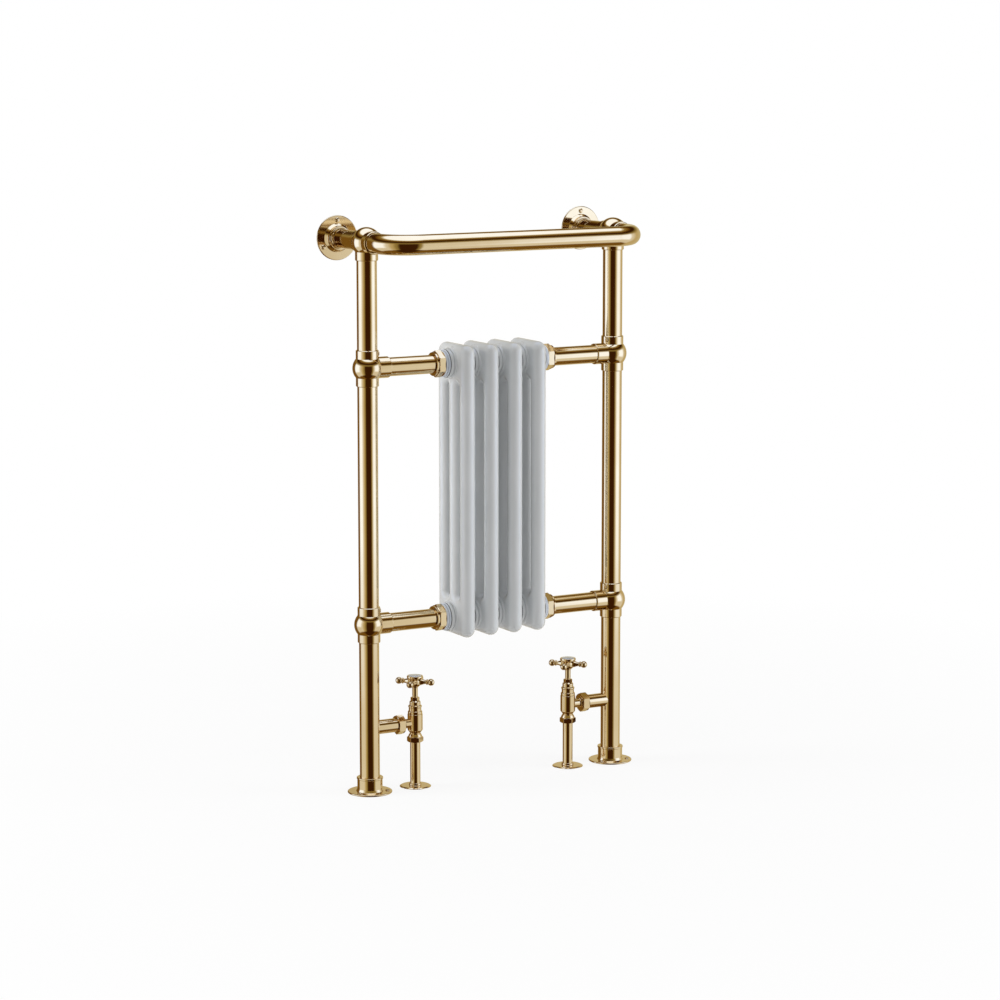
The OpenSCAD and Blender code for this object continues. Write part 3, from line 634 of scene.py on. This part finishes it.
def section_form():
    """One section about X = 0. Its middle plane carries a flat core, the header, which
    thins to a line along each column; the skin runs one column radius off that core."""
    top = SECTION_TOP - COLUMN_R
    low = SECTION_BOTTOM + COLUMN_R
    slot_r = COLUMN_PITCH / 2 - COLUMN_R
    crown = SECTION_TOP - HEADER_H - slot_r
    foot = SECTION_BOTTOM + HEADER_H + slot_r
    half = COLUMN_PITCH
    corner = HEADER_CORNER
    stops = [foot + (crown - foot) * k / 6 for k in range(7)]
    outer = []
    for z in stops:
        outer.append((Vector((half, z)), Vector((1, 0))))
    outer += arc((half - corner, top - corner), corner, 0, 90, 5)
    outer += arc((corner - half, top - corner), corner, 90, 180, 5)
    for z in reversed(stops):
        outer.append((Vector((-half, z)), Vector((-1, 0))))
    outer += arc((corner - half, low + corner), corner, 180, 270, 5)
    outer += arc((half - corner, low + corner), corner, 270, 360, 5)
    loops = [(outer, 1)]
    rim = COLUMN_PITCH / 2
    for y in (-rim, rim):
        inner = [(Vector((y + rim, z)), Vector((1, 0))) for z in stops[:-1]]
        inner += arc((y, crown), rim, 0, 180, 28)
        inner += [(Vector((y - rim, z)), Vector((-1, 0))) for z in reversed(stops[1:-1])]
        inner += arc((y, foot), rim, 180, 360, 28)[:-1]
        loops.append((inner, -1))
    verts, normals, faces = [], [], []
    steps = 20
    for loop, side in loops:
        first = len(verts)
        for point, out in loop:
            for k in range(steps + 1):
                a = math.pi * (k / steps - 0.5)
                flat = out * math.cos(a) * side
                normals.append(Vector((math.sin(a), flat.x, flat.y)))
                verts.append(Vector((math.sin(a) * COLUMN_R, point.x + flat.x * COLUMN_R,
                                     point.y + flat.y * COLUMN_R)))
        n = len(loop)
        for i in range(n):
            j = (i + 1) % n
            for k in range(steps):
                quad = [first + i * (steps + 1) + k, first + j * (steps + 1) + k,
                        first + j * (steps + 1) + k + 1, first + i * (steps + 1) + k + 1]
                faces.append(tuple(quad if side > 0 else reversed(quad)))
    rim_top = [p for p, d in arc((rim, crown), rim, 0, 180, 28)]
    rim_top += [p for p, d in arc((-rim, crown), rim, 0, 180, 28)][1:]
    top_face = rim_top + [p for p, d in arc((corner - half, top - corner), corner, 180, 90, 5)] + \
        [p for p, d in arc((half - corner, top - corner), corner, 90, 0, 5)]
    for mirror in (False, True):
        line = [Vector((p.x, (SECTION_TOP + SECTION_BOTTOM) - p.y)) if mirror else p for p in top_face]
        for x in (-COLUMN_R, COLUMN_R):
            first = len(verts)
            verts += [Vector((x, p.x, p.y)) for p in line]
            normals += [Vector((math.copysign(1, x), 0, 0))] * len(line)
            face = [first + k for k in range(len(line))]
            faces.append(tuple(face if (x < 0) != mirror else reversed(face)))
    return verts, normals, faces


def section_mesh():
    """The section's skin with its hubs and their soft root, as one mesh (metres)."""
    verts, normals, faces = section_form()
    verts = [v * MM for v in verts]
    forms = [(verts, normals, faces)]
    for z in (LOWER_RUNG_Z, UPPER_RUNG_Z):
        for toward in ((1, 0, 0), (-1, 0, 0)):
            forms.append(turned(outline(SECTION_HUB), (0, 0, z), toward, 72))
    all_verts, all_normals, all_faces = [], [], []
    for form_verts, form_normals, form_faces in forms:
        first = len(all_verts)
        all_verts += form_verts
        all_normals += form_normals
        all_faces += [tuple(first + v for v in face) for face in form_faces]
    mesh = bpy.data.meshes.new("radiator_section")
    mesh.from_pydata(all_verts, [], all_faces)
    mesh.shade_smooth()
    return mesh, all_normals


stack_tree, start, stack_ids = new_tree("sections_in_a_row", {
    "Section": "Object", "Count": "Int", "Pitch": "Vector", "First": "Vector", "Finish": "Material"})
row_of = add_node(stack_tree, "GeometryNodeMeshLine", {"mode": "OFFSET", "count_mode": "TOTAL"},
                  {"Count": start.outputs["Count"], "Start Location": start.outputs["First"],
                   "Offset": start.outputs["Pitch"]})
section_in = add_node(stack_tree, "GeometryNodeObjectInfo", None, {"Object": start.outputs["Section"]})
stood = add_node(stack_tree, "GeometryNodeInstanceOnPoints", None,
                 {"Points": row_of.outputs["Mesh"], "Instance": section_in.outputs["Geometry"]})
end_tree(stack_tree, stood.outputs["Instances"], start)
one_mesh, one_normals = section_mesh()
one_section = bpy.data.objects.new("radiator_section", one_mesh)
bpy.context.scene.collection.objects.link(one_section)
stack_mesh = grown("stack", stack_tree, stack_ids, {
    "Section": one_section, "Count": SECTION_COUNT, "Pitch": (SECTION_PITCH * MM, 0, 0),
    "First": (-(SECTION_COUNT - 1) / 2 * SECTION_PITCH * MM, 0, 0), "Finish": white_enamel})
bpy.data.objects.remove(one_section)
stack_mesh.normals_split_custom_set_from_vertices(one_normals * SECTION_COUNT)
settle("column_radiator_sections", stack_mesh, white_enamel,
       ["section_1", "section_2", "section_3", "section_4"], "stand")

# Turned steel of the nipples: grey and bright, with the rings of the tool drawn 0.5 mm
# apart, a little coarser than in life.
turned_steel, tree = new_finish("turned_steel")
place = add_node(tree, "ShaderNodeTexCoord").outputs["Object"]
rings = add_node(tree, "ShaderNodeTexWave", {"wave_type": "BANDS", "bands_direction": "X"},
                 {"Vector": place, "Scale": 600.0, "Distortion": 0.3})
cuts = add_node(tree, "ShaderNodeBump", None,
                {"Strength": 0.2, "Distance": 0.0001, "Height": rings.outputs["Fac"]})
skin = add_node(tree, "ShaderNodeBsdfPrincipled", None,
                {"Base Color": linear("#A8A9AB"), "Metallic": 1.0, "Roughness": 0.3,
                 "Normal": cuts.outputs["Normal"]})
add_node(tree, "ShaderNodeOutputMaterial", None, {"Surface": skin.outputs["BSDF"]})
dress("section_nipples", turned_steel)

# Nitrile rubber: near black and dull, with the 0.4 mm grain of its mould.
nitrile_rubber, tree = new_finish("nitrile_rubber")
place = add_node(tree, "ShaderNodeTexCoord").outputs["Object"]
grain = add_node(tree, "ShaderNodeTexNoise", None, {"Vector": place, "Scale": 2500.0, "Detail": 2.0})
pitted = add_node(tree, "ShaderNodeBump", None,
                  {"Strength": 0.2, "Distance": 0.00005, "Height": grain.outputs["Fac"]})
skin = add_node(tree, "ShaderNodeBsdfPrincipled", None,
                {"Base Color": linear("#2E2E2F"), "Roughness": 0.75, "IOR": 1.52,
                 "Normal": pitted.outputs["Normal"]})
add_node(tree, "ShaderNodeOutputMaterial", None, {"Surface": skin.outputs["BSDF"]})
dress("section_gaskets", nitrile_rubber)

# Valve tails
# A 24 mm tube brazed into the side of each upright. A hexagon nut behind its lip draws
# it on to the neck of the valve.
VALVE_X = 151.0
VALVE_Z = 111.0
TAIL_END = 29.52
TAIL = [(0, 0), (13, 0, 0.3), (13, 2.5, 0.4), (12, 2.7, 0.2), (12, 46, 0.3), (0, 46)]
TAIL_NUT_START = 23.5
TAIL_NUT_ACROSS = 29.4
for side, sign in SIDES.items():
    make_piece(side + "_valve_tail_tube",
               [turned(outline(TAIL), (sign * (VALVE_X + TAIL_END), 0, VALVE_Z), (sign, 0, 0))],
               polished_brass, [side + "_valve_tail"])
make_nuts("valve_union_hexagons",
          [((sign * (VALVE_X + TAIL_NUT_START), 0, VALVE_Z), (sign, 0, 0)) for sign in SIDES.values()],
          [hex_nut(TAIL_NUT_ACROSS, 1.2, 13, 12.1, 1.06)], 0.3, polished_brass, ["valve_union_nuts"],
          roll=HEX_ROLL)

# Valve bodies, bonnets and glands
# Angle castings turned all over, with a neck toward the upright and a spigot for the
# pipe. The bonnet is a stepped turning screwed in on top, and a small hexagon gland nut
# squeezes the packing round the spindle.
BODY = [(0, -29), (9.2, -29, 0.4), (9.2, -17, 1.5), (12.8, -12.4, 2.0), (13, -10, 1.0), (13, 15.4, 0.7),
        (12.2, 16, 0.4), (0, 16)]
NECK = [(0, 0), (8, 0, 0.3), (8, 22.9, 1.2), (12.6, 23.5, 0.5), (12.6, 29.4, 0.3), (0, 29.4)]
BONNET = [(0, 16), (12.35, 16.05, 0.4), (12.35, 20.4, 0.8), (10.8, 21.4, 0.8), (10.8, 26.8, 0.8),
          (11.57, 27.9, 0.7), (11.57, 30.1, 0.8), (9.5, 31.2, 0.8), (9.5, 37.0, 1.6), (7.4, 39, 0.6), (0, 39)]
GLAND_RISE = 39.02
GLAND_ACROSS = 13.4
for side, sign in SIDES.items():
    at = (sign * VALVE_X, 0, VALVE_Z)
    make_piece(side + "_angle_valve_body",
               [turned(outline(BODY), at), turned(outline(NECK), at, (sign, 0, 0), 72)],
               polished_brass, [side + "_valve_body"])
    make_piece(side + "_valve_bonnet_turned", [turned(outline(BONNET), at)],
               polished_brass, [side + "_bonnet"])
    make_nuts(side + "_gland_hexagon", [((sign * VALVE_X, 0, VALVE_Z + GLAND_RISE), UP)],
              [hex_nut(GLAND_ACROSS, 0, 6, 4.0)], 0.2, polished_brass, [side + "_gland_nut"])
    dress(side + "_gland_packing", nitrile_rubber)

# Jumpers and spindles
# The jumper is plain machined brass inside the body. The spindle is turned from rod and
# rises through the gland to the handle.
SPINDLE = [(0, -1.9), (5, -1.9, 0.3), (5, 26, 0.5), (3.8, 27, 0.3), (3.8, 78.5, 0.3), (0, 78.5)]
# Machined brass: duller than the mopped pieces, stained a little over 12 mm, with the
# rings of the tool drawn 0.4 mm apart, a little coarser than in life.
machined_brass, tree = new_finish("machined_brass")
place = add_node(tree, "ShaderNodeTexCoord").outputs["Object"]
rings = add_node(tree, "ShaderNodeTexWave", {"wave_type": "BANDS", "bands_direction": "Z"},
                 {"Vector": place, "Scale": 800.0, "Distortion": 0.5})
stain = add_node(tree, "ShaderNodeTexNoise", None, {"Vector": place, "Scale": 80.0, "Detail": 3.0})
tone = add_node(tree, "ShaderNodeValToRGB", None, {"Fac": stain.outputs["Fac"]})
tone.color_ramp.elements[0].color = linear("#A27F45")
tone.color_ramp.elements[1].color = linear("#B8945A")
cuts = add_node(tree, "ShaderNodeBump", None,
                {"Strength": 0.2, "Distance": 0.0001, "Height": rings.outputs["Fac"]})
skin = add_node(tree, "ShaderNodeBsdfPrincipled", None,
                {"Base Color": tone.outputs["Color"], "Metallic": 1.0, "Roughness": 0.32,
                 "Normal": cuts.outputs["Normal"]})
add_node(tree, "ShaderNodeOutputMaterial", None, {"Surface": skin.outputs["BSDF"]})
for side, sign in SIDES.items():
    dress(side + "_jumper", machined_brass)
    make_piece(side + "_valve_spindle_turned",
               [turned(outline(SPINDLE), (sign * VALVE_X, 0, VALVE_Z), sides=64)],
               polished_brass, [side + "_spindle"], side + "_valve_handle")

# Cross handles
# A turned hub with four tapered arms, each with a collar and a ball at its end, and a
# domed cup on top that holds the porcelain index.
CROSS_Z = VALVE_Z + 72
HUB = [(0, -25.5), (4.9, -25.5, 0.4), (4.9, -10.6, 1.0), (6.2, -9.8, 0.6), (6.2, -8.6, 0.6), (8.6, -7.4, 1.5),
       (10.4, -3.6, 3.0), (10.6, 0, 3.0), (9.6, 3.0, 1.5), (10.8, 4.2, 1.2), (13.4, 5.8, 1.6),
       (13.9, 8.2, 2.0), (13.5, 9.9, 0.6), (12.9, 10.2, 0.3), (11.2, 10.2, 0.15), (11.2, 7.1, 0.2), (0, 7.1)]
ARM = [(0, 3), (6.0, 3, 0.3), (5.8, 11, 1.0), (3.8, 16.5, 5.0), (3.3, 20.2, 0.6), (4.9, 21.0, 0.5),
       (4.9, 22.6, 0.5), (3.6, 23.4, 0.5), (3.6, 27), (0, 27)]
ARM_COUNT = 4
ARM_TURN = 45
ARM_BALL_R = 5.9
ARM_BALL_OUT = 28.6
INDEX = [(0, 7.12), (11.15, 7.12, 0.2), (11.15, 10.1, 0.7), (9.8, 10.9, 3.0), (6.0, 11.6, 8.0), (0, 11.78)]

# Glazed porcelain: cool white body, mottled over 8 mm, under a clear, thick glaze that
# gives a sharp gloss.
glazed_porcelain, tree = new_finish("glazed_porcelain")
place = add_node(tree, "ShaderNodeTexCoord").outputs["Object"]
body_tone = add_node(tree, "ShaderNodeTexNoise", None, {"Vector": place, "Scale": 120.0, "Detail": 2.0})
tone = add_node(tree, "ShaderNodeValToRGB", None, {"Fac": body_tone.outputs["Fac"]})
tone.color_ramp.elements[0].color = linear("#C3CAD8")
tone.color_ramp.elements[1].color = linear("#CBD2DE")
flow = add_node(tree, "ShaderNodeBump", None,
                {"Strength": 0.15, "Distance": 0.0002, "Height": body_tone.outputs["Fac"]})
skin = add_node(tree, "ShaderNodeBsdfPrincipled", None,
                {"Base Color": tone.outputs["Color"], "Roughness": 0.18, "IOR": 1.52, "Coat Weight": 0.8,
                 "Coat Roughness": 0.03, "Coat Normal": flow.outputs["Normal"]})
add_node(tree, "ShaderNodeOutputMaterial", None, {"Surface": skin.outputs["BSDF"]})
for side, sign in SIDES.items():
    at = (sign * VALVE_X, 0, CROSS_Z)
    forms = [turned(outline(HUB), at, sides=80)]
    for arm in range(ARM_COUNT):
        a = math.radians(ARM_TURN + 360 / ARM_COUNT * arm)
        out = (math.cos(a), math.sin(a), 0)
        forms.append(turned(outline(ARM), at, out, 48))
        forms.append(turned(ball(ARM_BALL_R, ARM_BALL_OUT, 28), at, out, 48))
    make_piece(side + "_cross_handle_turned", forms, polished_brass, [side + "_cross_handle"],
               side + "_valve_handle")
    make_piece(side + "_porcelain_index", [turned(outline(INDEX), at, sides=80)], glazed_porcelain,
               [side + "_index"], side + "_valve_handle")

# Pipe connections
# A compression nut and a plain brass olive hold the copper supply pipe in each valve. A
# brass sleeve hides the pipe down to a thin collar on the floor.
PIPE_NUT_DROP = 33.0
PIPE_NUT_ACROSS = 24.6
SLEEVE_R = 8.75
SLEEVE_H = 77.9
COLLAR = [(0, 0), (27, 0, 0.2), (26.8, 0.8, 0.4), (24.4, 2.1, 2.0), (10.6, 2.3, 1.0), (10.45, 5.8, 0.5),
          (10.0, 6.2, 0.3), (8.85, 6.2, 0.15), (8.85, 4), (0, 4)]
nut_places = [((sign * VALVE_X, 0, VALVE_Z - PIPE_NUT_DROP), UP) for sign in SIDES.values()]
make_nuts("compression_hexagons", nut_places,
          [hex_nut(PIPE_NUT_ACROSS, 0, 9.5, 9.3),
           spun([(9.3, 8), (12.1, 8), (12.1, 9.7), (10.2, 14), (9.3, 14)])],
          0.3, polished_brass, ["compression_nuts"])
dress("olives", machined_brass)

# Drawn copper: warm and a little dull, with faint draw lines 0.7 mm apart along the pipe.
drawn_copper, tree = new_finish("drawn_copper")
place = add_node(tree, "ShaderNodeTexCoord").outputs["Object"]
drawn = add_node(tree, "ShaderNodeMapping", None, {"Vector": place, "Scale": (1.0, 1.0, 0.02)})
lines = add_node(tree, "ShaderNodeTexNoise", None,
                 {"Vector": drawn.outputs["Vector"], "Scale": 1500.0, "Detail": 3.0})
tone = add_node(tree, "ShaderNodeValToRGB", None, {"Fac": lines.outputs["Fac"]})
tone.color_ramp.elements[0].color = linear("#A8674A")
tone.color_ramp.elements[1].color = linear("#C07F5E")
skin = add_node(tree, "ShaderNodeBsdfPrincipled", None,
                {"Base Color": tone.outputs["Color"], "Metallic": 1.0, "Roughness": 0.35})
add_node(tree, "ShaderNodeOutputMaterial", None, {"Surface": skin.outputs["BSDF"]})
for side, sign in SIDES.items():
    dress(side + "_supply_pipe", drawn_copper)
    at = (sign * VALVE_X, 0, 0)
    make_piece(side + "_pipe_sleeve_tube", [turned(tube(SLEEVE_R, SLEEVE_H), at, sides=72)], polished_brass,
               [side + "_pipe_sleeve"])
    make_piece(side + "_floor_collar_turned", [turned(outline(COLLAR), at, sides=80)], polished_brass,
               [side + "_floor_collar"])

# Studio
# A white floor, a white room and three soft lamps. A round tent hangs about the stand and glows, though it is
# no lamp, in bands of painted colour: tan, olive, brown and dark, with bright softbox panels. It is seen only
# in reflections and paints the dark and light bands of a product shot on to the polished tubes as painted
# reflections.
floor_mesh = bpy.data.meshes.new("studio_floor")
floor_mesh.from_pydata([(-30, -30, 0), (30, -30, 0), (30, 30, 0), (-30, 30, 0)], [], [(0, 1, 2, 3)])
# Matt white floor paint, mottled a little over 170 mm. The camera sees it fade to plain
# white between 0.5 and 1.8 m from the stand.
white_floor, tree = new_finish("white_studio_floor")
place = add_node(tree, "ShaderNodeTexCoord").outputs["Object"]
mottle = add_node(tree, "ShaderNodeTexNoise", None, {"Vector": place, "Scale": 6.0, "Detail": 3.0})
tone = add_node(tree, "ShaderNodeValToRGB", None, {"Fac": mottle.outputs["Fac"]})
tone.color_ramp.elements[0].color = linear("#FAFAFA")
tone.color_ramp.elements[1].color = linear("#FFFFFF")
skin = add_node(tree, "ShaderNodeBsdfDiffuse", None, {"Color": tone.outputs["Color"]})
glow = add_node(tree, "ShaderNodeEmission", None, {"Color": (1, 1, 1, 1), "Strength": 1.0})
path = add_node(tree, "ShaderNodeLightPath")
away_from = add_node(tree, "ShaderNodeVectorMath", {"operation": "LENGTH"}, {0: place})
fade = add_node(tree, "ShaderNodeMapRange", None,
                {"Value": away_from.outputs["Value"], "From Min": 0.5, "From Max": 1.8,
                 "To Min": 0.86, "To Max": 1.0})
seen = add_node(tree, "ShaderNodeMath", {"operation": "MULTIPLY"},
                {0: path.outputs["Is Camera Ray"], 1: fade.outputs["Result"]})
both = add_node(tree, "ShaderNodeMixShader", None,
                {0: seen.outputs[0], 1: skin.outputs["BSDF"], 2: glow.outputs["Emission"]})
add_node(tree, "ShaderNodeOutputMaterial", None, {"Surface": both.outputs["Shader"]})
floor_mesh.materials.append(white_floor)
floor = bpy.data.objects.new("studio_floor", floor_mesh)
bpy.context.scene.collection.objects.link(floor)
floor.visible_glossy = False

world = bpy.data.worlds.new("white_room")
bpy.context.scene.world = world
world.use_nodes = True
tree = world.node_tree
tree.nodes.clear()
path = add_node(tree, "ShaderNodeLightPath")
shown = add_node(tree, "ShaderNodeMath", {"operation": "MAXIMUM"},
                 {0: path.outputs["Is Camera Ray"], 1: path.outputs["Is Glossy Ray"]})
shown = add_node(tree, "ShaderNodeMath", {"operation": "MAXIMUM"},
                 {0: shown.outputs[0], 1: path.outputs["Is Transmission Ray"]})
plain = add_node(tree, "ShaderNodeBackground", None, {"Color": (1, 1, 1, 1), "Strength": 0.31})
white = add_node(tree, "ShaderNodeBackground", None, {"Color": (1, 1, 1, 1), "Strength": 1.0})
mix = add_node(tree, "ShaderNodeMixShader", None,
               {0: shown.outputs[0], 1: plain.outputs["Background"], 2: white.outputs["Background"]})
add_node(tree, "ShaderNodeOutputWorld", None, {"Surface": mix.outputs["Shader"]})

CAMERA_SIDE = 240.9
# Painted reflection colours: each glowing band of the tent is a colour and its strength, and none of them is
# a lamp.
PAINTED_REFLECTION_GLOWS = {"softbox": ("#C2D4FF", 2.4), "cream": ("#E8ECF2", 1.05), "tan": ("#CFC39C", 1.0),
          "olive": ("#9E8E58", 1.0), "brown": ("#7E5E24", 1.0), "dark": ("#3E220A", 1.0)}
# Each turn is in degrees from the camera's side; one painted reflection colour blends into the next.
AROUND = [(-180, "tan"), (-145, "brown"), (-107, "brown"), (-95, "softbox"), (-68, "softbox"), (-53, "cream"),
          (-40, "tan"), (-27, "olive"), (-17, "dark"), (29, "dark"), (40, "olive"), (53, "cream"),
          (66, "softbox"), (92, "softbox"), (104, "cream"), (124, "tan"), (180, "tan")]
# Below the panels' lower edge the same painted reflection colours glow on, with cream in place of the
# softbox.
SOFTER = [(turn, "cream" if cloth == "softbox" else cloth) for turn, cloth in AROUND]
LOW = [(-180, "tan"), (-150, "brown"), (-60, "brown"), (-30, "dark"), (45, "dark"), (75, "brown"),
       (150, "brown"), (180, "tan")]
HIGH = [(-180, "brown"), (-150, "dark"), (150, "dark"), (180, "brown")]
# Rows of the tent from the middle of its floor up its wall to the middle of its roof.
TENT = [(-3.0, 0.01, LOW), (-3.0, 2.39, LOW), (-2.1, 2.4, LOW), (-1.5, 2.4, SOFTER), (-0.35, 2.4, SOFTER),
        (0.05, 2.4, AROUND), (1.35, 2.4, AROUND), (1.75, 2.4, [(-180, "olive"), (180, "olive")]),
        (2.15, 2.4, HIGH), (2.55, 2.4, HIGH), (3.0, 2.39, [(-180, "brown"), (180, "brown")]),
        (3.0, 1.9, [(-180, "olive"), (180, "olive")]), (3.0, 1.65, [(-180, "cream"), (180, "cream")]),
        (3.0, 1.5, [(-180, "softbox"), (180, "softbox")]), (3.0, 0.01, [(-180, "softbox"), (180, "softbox")])]


def painted_reflection_light(stops, turn):
    """The painted reflection light that the tent glows with at a turn, eased from one colour to the next."""
    for (low, first), (high, last) in zip(stops, stops[1:]):
        if turn <= high:
            part = (turn - low) / (high - low)
            part = part * part * (3 - 2 * part)
            ends = [[c * PAINTED_REFLECTION_GLOWS[cloth][1] for c in linear(PAINTED_REFLECTION_GLOWS[cloth][0])[:3]] for cloth in (first, last)]
            return [a + (b - a) * part for a, b in zip(*ends)] + [1.0]


tent_mesh = bpy.data.meshes.new("reflection_tent")
verts, lights, faces = [], [], []
TENT_PANELS = 180
for height, radius, stops in TENT:
    for k in range(TENT_PANELS):
        turn = 360 * k / TENT_PANELS - 180
        a = math.radians(CAMERA_SIDE + turn)
        verts.append((radius * math.cos(a), radius * math.sin(a), height))
        lights += painted_reflection_light(stops, turn)
for row in range(len(TENT) - 1):
    for k in range(TENT_PANELS):
        low_k, low_j = row * TENT_PANELS + k, row * TENT_PANELS + (k + 1) % TENT_PANELS
        faces.append((low_k, low_j, low_j + TENT_PANELS, low_k + TENT_PANELS))
tent_mesh.from_pydata(verts, [], faces)
tent_mesh.color_attributes.new("painted_reflection_light", "FLOAT_COLOR", "POINT").data.foreach_set("color", lights)
# The tent's panels glow in these painted reflection colours and are seen only in glossy rays.
tent_painted_glow, tree = new_finish("painted_reflection_tent_glow")
painted_glow_colour = add_node(tree, "ShaderNodeAttribute", {"attribute_name": "painted_reflection_light"})
glow = add_node(tree, "ShaderNodeEmission", None, {"Color": painted_glow_colour.outputs["Color"], "Strength": 1.0})
add_node(tree, "ShaderNodeOutputMaterial", None, {"Surface": glow.outputs["Emission"]})
tent_mesh.materials.append(tent_painted_glow)
tent = bpy.data.objects.new("reflection_tent", tent_mesh)
bpy.context.scene.collection.objects.link(tent)
tent.visible_camera = False
tent.visible_diffuse = False
tent.visible_shadow = False
tent.visible_transmission = False


def lamp(name, at, aim, size, power, tint="#FFFFFF"):
    light = bpy.data.lights.new(name, "AREA")
    light.shape = "RECTANGLE"
    light.size, light.size_y = size
    light.energy = power
    light.color = linear(tint)[:3]
    holder = bpy.data.objects.new(name, light)
    holder.location = at
    holder.rotation_euler = (Vector(aim) - Vector(at)).to_track_quat("-Z", "Y").to_euler()
    bpy.context.scene.collection.objects.link(holder)
    holder.visible_glossy = False


lamp("lamp_left", (-3.3, 1.2, 1.3), (0, 0, 0.5), (1.6, 2.4), 75)
lamp("lamp_right", (2.9, -1.9, 1.1), (0, 0, 0.5), (1.6, 2.4), 56)
lamp("lamp_over", (-0.3, -0.4, 3.4), (0, 0, 0.4), (2.2, 2.2), 35)

# Camera
# The photograph's viewpoint, from the front left and a little above, found from the
# uprights, rungs, rail and feet.
camera_data = bpy.data.cameras.new("photo_camera")
camera_data.sensor_width = 36.0
camera_data.lens = 115.93
camera_data.dof.use_dof = False
camera = bpy.data.objects.new("photo_camera", camera_data)
bpy.context.scene.collection.objects.link(camera)
target = Vector((0.015, 0.0, 0.4833))
yaw, pitch, away = math.radians(29.11), math.radians(8.97), 5.524
ahead = Vector((math.sin(yaw) * math.cos(pitch), math.cos(yaw) * math.cos(pitch), -math.sin(pitch)))
camera.location = target - ahead * away
camera.rotation_euler = ahead.to_track_quat("-Z", "Y").to_euler()
bpy.context.scene.camera = camera
bpy.context.scene.view_settings.view_transform = "Standard"
